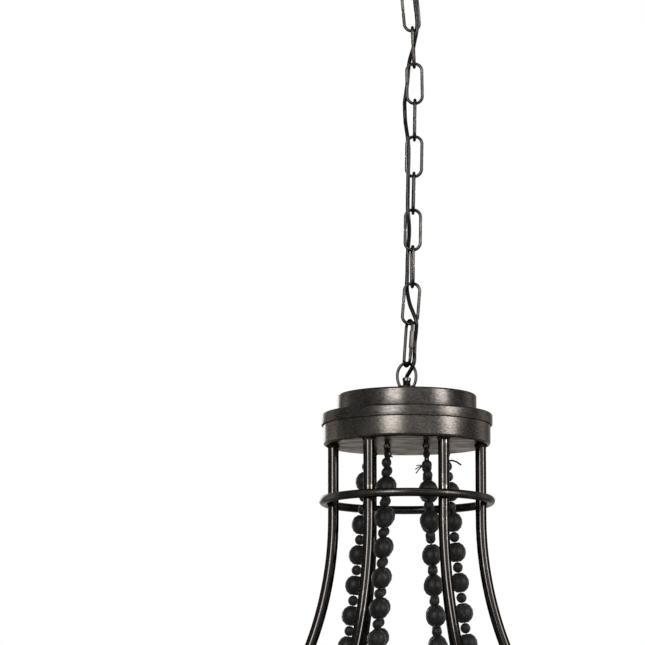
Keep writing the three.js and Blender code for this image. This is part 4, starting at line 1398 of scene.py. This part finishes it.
class CHANDELIER_OT_hoops(bpy.types.Operator):
    """Roll the two hoops and weld them to the arms"""

    bl_idname = "chandelier.hoops"
    bl_label = "Hoops"

    def execute(self, context):
        wire = context.scene.chandelier_arms.hoop_radius
        for node, steps in (("upper_hoop", 96), ("lower_hoop", 144)):
            height = centre_of(node).z
            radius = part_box(node)[1].x - wire
            inside = radius - wire - 0.1 * MM
            welds = []
            rod = torus(radius, wire, steps, 16, location=(0, 0, height))
            for number in range(1, ARMS + 1):
                for side in (-1, 1):
                    place = (inside, side * HOOP_WELD_ASIDE, height + side * HOOP_WELD_LIFT)
                    welds.append(moved(lump(HOOP_WELD, place, (0.75, 1.3, 1.0)), spoke(number)))
            rod = merged(rod, *welds)
            finished(rod, f"{node}_rod", "fixture", satin_hoop_iron, "dark_iron", node, 60)
        return {"FINISHED"}


class CHANDELIER_OT_candles(bpy.types.Operator):
    """Make the drip pans and candle sleeves"""

    bl_idname = "chandelier.candles"
    bl_label = "Cups and sleeves"

    def execute(self, context):
        sizes = context.scene.chandelier_lamps
        radius, _ = candle_place()
        low, _ = span("candle_cup_1")
        floor, rim, rise = sizes.cup_floor, sizes.cup_radius, sizes.cup_rise
        cup = turned([
            *profile(low, [(CUP_HOLE, 0)]), *profile(low, [(0, 0), CUP_SLOPE], floor),
            *profile(low + rise, CUP_RIM, rim),
            *profile(low, [CUP_SLOPE_INSIDE, (0, CUP_WALL)], floor), *profile(low, [(CUP_HOLE, CUP_WALL)]),
        ], 64)
        shifted(eased(cup, 0.3, 2, 40), radius)
        on_spokes(cup, "cup_{}", "fixture", satin_hoop_iron, "dark_iron", "candle_cup_{}")
        low, high = span("candle_sleeve_1")
        outer, mouth, bottom = sizes.sleeve_radius, sizes.socket_radius, high - sizes.socket_depth
        sleeve = turned([
            *profile(low, SLEEVE_BORE), (outer, low), *profile(high, SLEEVE_LIP, outer),
            *profile(high, SOCKET_LIP, mouth), (mouth, bottom), (0, bottom),
        ], 48)
        shifted(eased(sleeve, 0.25, 2, 50), radius)
        on_spokes(sleeve, "sleeve_{}", "fixture", painted_sleeve, "candle_sleeve", "candle_sleeve_{}")
        return {"FINISHED"}


class CHANDELIER_OT_bulbs(bpy.types.Operator):
    """Blow the flame bulbs, with their screw caps and filaments"""

    bl_idname = "chandelier.bulbs"
    bl_label = "Bulbs"

    def execute(self, context):
        belly = context.scene.chandelier_lamps.bulb_radius
        low, high = span("bulb_1")
        neck = span("candle_sleeve_1")[1] + FIT
        tall = high - neck
        outer = [(out * belly, neck + along * tall) for out, along in BULB_SHARES]
        inner = [(max(0, out - GLASS_WALL), z - (GLASS_WALL if out == 0 else 0)) for out, z in outer]
        envelope = turned([*outer, *reversed(inner)], 48)
        screw = turned(profile(low, SCREW_BOTTOM + SCREW_RIDGES) + profile(neck, SCREW_TOP), 40)
        stem = turned(profile(neck, GLASS_STEM), 20)
        across = [Vector((FILAMENT_FOOT, 0, 0)), Vector((0, FILAMENT_FOOT, 0))]
        spun = [Matrix.Rotation(FILAMENT_TWIST, 3, "Z") @ side * FILAMENT_WIDENING for side in across]
        feet = circle(Vector((0, 0, neck + FILAMENT_FOOT_HEIGHT)), *across, 4)
        heads = circle(Vector((0, 0, neck + FILAMENT_HEAD_HEIGHT * tall)), *spun, 4)
        wires = [[foot, (foot + head) / 2, head] for foot, head in zip(feet, heads)]
        filament = merged(*(wire_along(points, FILAMENT_RADIUS, 1) for points in wires))
        radius, _ = candle_place()
        for piece, part, finish in (
            (envelope, "glass", (amber_glass, "bulb_glass", "bulb_{}", 70)),
            (screw, "screw", (screw_cap_brass, None, "", 60)),
            (stem, "stem", (amber_glass, "bulb_glass", "", 70)),
            (filament, "filament", (screw_cap_brass, None, "", 70)),
        ):
            on_spokes(shifted(piece, radius), f"bulb_{{}}_{part}", "bulb_{}", *finish)
        return {"FINISHED"}


class CHANDELIER_OT_strands(bpy.types.Operator):
    """Thread the turned beads on their strings and hook each strand to its eyes"""

    bl_idname = "chandelier.strands"
    bl_label = "Bead strands"

    def execute(self, context):
        sizes = context.scene.chandelier_beads
        hanging = Hanging()
        pattern = self.bead()
        chance = random.Random(sizes.seed)
        for number, starts in enumerate(STRAND_STARTS, 1):
            body, place = f"strand_{number}", spoke(number)
            beads = moved(self.threaded_beads(sizes, hanging, pattern, chance, starts), place)
            finished(beads, f"{body}_beads", body, charcoal_beads, "wood_beads", f"bead_{body}", 75)
            string = moved(self.string(sizes, hanging, chance, number), place)
            finished(string, f"{body}_string", body, waxed_string, "cord_cover", angle=70)
            eye = moved(self.upper_eye(hanging), place)
            finished(eye, f"{body}_eye", "fixture", blackened_iron, "dark_iron", angle=70)
        deleted(pattern)
        return {"FINISHED"}

    @staticmethod
    def bead():
        """One turned bead of unit radius, drilled along Z: a ball whose poles are pushed in."""
        clear()
        bpy.ops.mesh.primitive_uv_sphere_add(segments=12, ring_count=7, radius=1)
        pull_apart(2, -0.12, 0.99)
        return bpy.context.object

    @staticmethod
    def places_along(sizes, starts, reach):
        """Radii of the beads and how far along the string each one sits."""
        along = sizes.eye + MM
        beads = []
        for mark in starts:
            if mark == "-":
                along += BARE_STRETCH
                continue
            radius = sizes.big if mark == "B" else sizes.small
            beads.append((radius, along + radius))
            along += 2 * radius
        pair = 2 * sizes.big + 2 * sizes.small
        while along + pair + sizes.eye < reach:
            beads += [(sizes.big, along + sizes.big), (sizes.small, along + 2 * sizes.big + sizes.small)]
            along += pair
        if along + 2 * sizes.big + sizes.eye < reach:
            beads.append((sizes.big, along + sizes.big))
        return beads

    def threaded_beads(self, sizes, hanging, pattern, chance, starts):
        start = hanging.arc(hanging.first)
        beads = []
        for radius, along in self.places_along(sizes, starts, hanging.arc(hanging.last) - start):
            place, way = hanging.at(start + along)
            lean = UP.rotation_difference(way).to_matrix().to_4x4()
            spin = Matrix.Rotation(chance.uniform(0, math.tau), 4, "Z")
            tilt = Matrix.Rotation(chance.gauss(0, BEAD_TILT), 4, "X")
            girth = radius * (1 + chance.uniform(-1, 0.6) * sizes.spread)
            shape = Matrix.Diagonal((girth, girth, radius * BEAD_LENGTH, 1))
            bead = pattern.copy()
            bead.data = pattern.data.copy()
            bpy.context.scene.collection.objects.link(bead)
            aside = Vector((0, chance.gauss(0, 1) * BEAD_ASIDE, 0))
            bead.data.transform(Matrix.Translation(place + aside) @ lean @ tilt @ spin @ shape)
            tone = bead.data.attributes.new("bead_tone", "FLOAT", "POINT")
            tone.data.foreach_set("value", [chance.random()] * len(bead.data.vertices))
            beads.append(bead)
        return merged(*beads)

    def string(self, sizes, hanging, chance, number):
        """The doubled string, wound three times through each eye, with its knots and cut tails."""
        start, end = hanging.arc(hanging.first), hanging.arc(hanging.last)
        steps = 70
        parts = []
        for side in (-1, 1):
            line = []
            for step in range(steps + 1):
                along = sizes.eye + (end - start - 2 * sizes.eye) * step / steps
                place, _ = hanging.at(start + along)
                spread = STRING_APART if along < STRING_APART_DOWN_TO else STRING_TOGETHER
                line.append(place + Vector((0, side * spread, 0)))
            parts.append(wire_along(line, sizes.string, 1))
        for radius, side in ((hanging.first, -1), (hanging.last, 1)):
            loop, _, away = hanging.hook(radius, side)
            across = Vector((-away.z, 0, away.x))
            for wind in (-1, 0, 1):
                width = sizes.eye * (1 + 0.05 * wind)
                ring = circle(loop + Vector((0, WINDING_STEP * wind, 0)), away * width, across * width, 16)
                parts.append(wire_along(ring, WINDING_RADIUS, 1, closed=True))
            knot = loop - away * (sizes.eye + KNOT_PLACE)
            for lift, swell in KNOTS:
                x, y = (chance.uniform(-KNOT_STRAY, KNOT_STRAY) * MM for _ in range(2))
                aside = Vector((x, y, 0))
                parts.append(lump(swell * MM, knot + away * lift * MM + aside, (1, 1.1, 1.1), 10, 7))
            if side > 0:
                parts += self.tail(knot, chance.uniform(0, math.tau), *LOWER_TAIL, 1)
                continue
            for strand, drop, turn, reach, thickness, ends in STRING_TAILS:
                if strand == number:
                    heading = math.radians(turn) - math.tau * (number - 1) / ARMS
                    parts += self.tail(knot - UP * drop * MM, heading, reach * MM, thickness * MM / 2, ends)
        return merged(*parts)

    @staticmethod
    def tail(root, heading, reach, radius, ends):
        """A cut end of string that sticks out and droops; more than one loose end makes it frayed.

        The numbers are shares of its reach, and radians by which the loose ends fan out.
        """
        strands = []
        for end in range(ends):
            fan = end - (ends - 1) / 2
            out = Vector((math.cos(heading + 0.4 * fan), math.sin(heading + 0.4 * fan), 0))
            split = root + out * 0.4 * reach + UP * 0.04 * reach
            tip = root + out * reach + UP * reach * (0.3 * fan - 0.28)
            middle = (split + tip) / 2 + UP * 0.05 * reach
            strands.append(wire_along([root, split, middle, tip], radius, 1))
        return strands

    @staticmethod
    def upper_eye(hanging):
        """The wire eye under the pan, with its shank and the weld round it."""
        _, eye, away = hanging.hook(hanging.first, -1)
        top = eye + away * hanging.eye
        foot = Vector((top.x, 0, drum_bottom() + SHANK_END))
        radius, down, up = SHANK_WELD
        return merged(
            wire_along(eye_points(eye, away, hanging.eye), EYE_WIRE, 2, closed=True),
            wire_along([top, foot], EYE_WIRE, 2),
            cylinder(radius, foot.z - down, foot.z - up, 6, foot.x),
        )


STEPS = (
    CHANDELIER_OT_stage, CHANDELIER_OT_cord, CHANDELIER_OT_ceiling, CHANDELIER_OT_canopy,
    CHANDELIER_OT_chain, CHANDELIER_OT_loop, CHANDELIER_OT_cap, CHANDELIER_OT_arms, CHANDELIER_OT_hoops,
    CHANDELIER_OT_candles, CHANDELIER_OT_bulbs, CHANDELIER_OT_strands,
)
GROUPS = {
    "chandelier_chain": ChainSizes,
    "chandelier_cord": CordSizes,
    "chandelier_ceiling": CeilingSizes,
    "chandelier_cap": CapSizes,
    "chandelier_arms": ArmSizes,
    "chandelier_beads": BeadSizes,
    "chandelier_lamps": LampSizes,
    "chandelier_finishes": Finishes,
}


class CHANDELIER_PT_panel(bpy.types.Panel):
    """Sidebar panel with one button for each group of pieces"""

    bl_label = "Chandelier"
    bl_space_type = "VIEW_3D"
    bl_region_type = "UI"
    bl_category = "Chandelier"

    def draw(self, context):
        for step in STEPS:
            self.layout.operator(step.bl_idname)


def register():
    for kind in (*GROUPS.values(), *STEPS, CHANDELIER_PT_panel):
        bpy.utils.register_class(kind)
    for name, kind in GROUPS.items():
        setattr(bpy.types.Scene, name, PointerProperty(type=kind))


def unregister():
    for name in GROUPS:
        delattr(bpy.types.Scene, name)
    for kind in reversed((*GROUPS.values(), *STEPS, CHANDELIER_PT_panel)):
        bpy.utils.unregister_class(kind)


def main():
    """Build everything."""
    register()
    for step in STEPS:
        area, _, call = step.bl_idname.partition(".")
        getattr(getattr(bpy.ops, area), call)()
    clear()


if __name__ == "__main__":
    main()
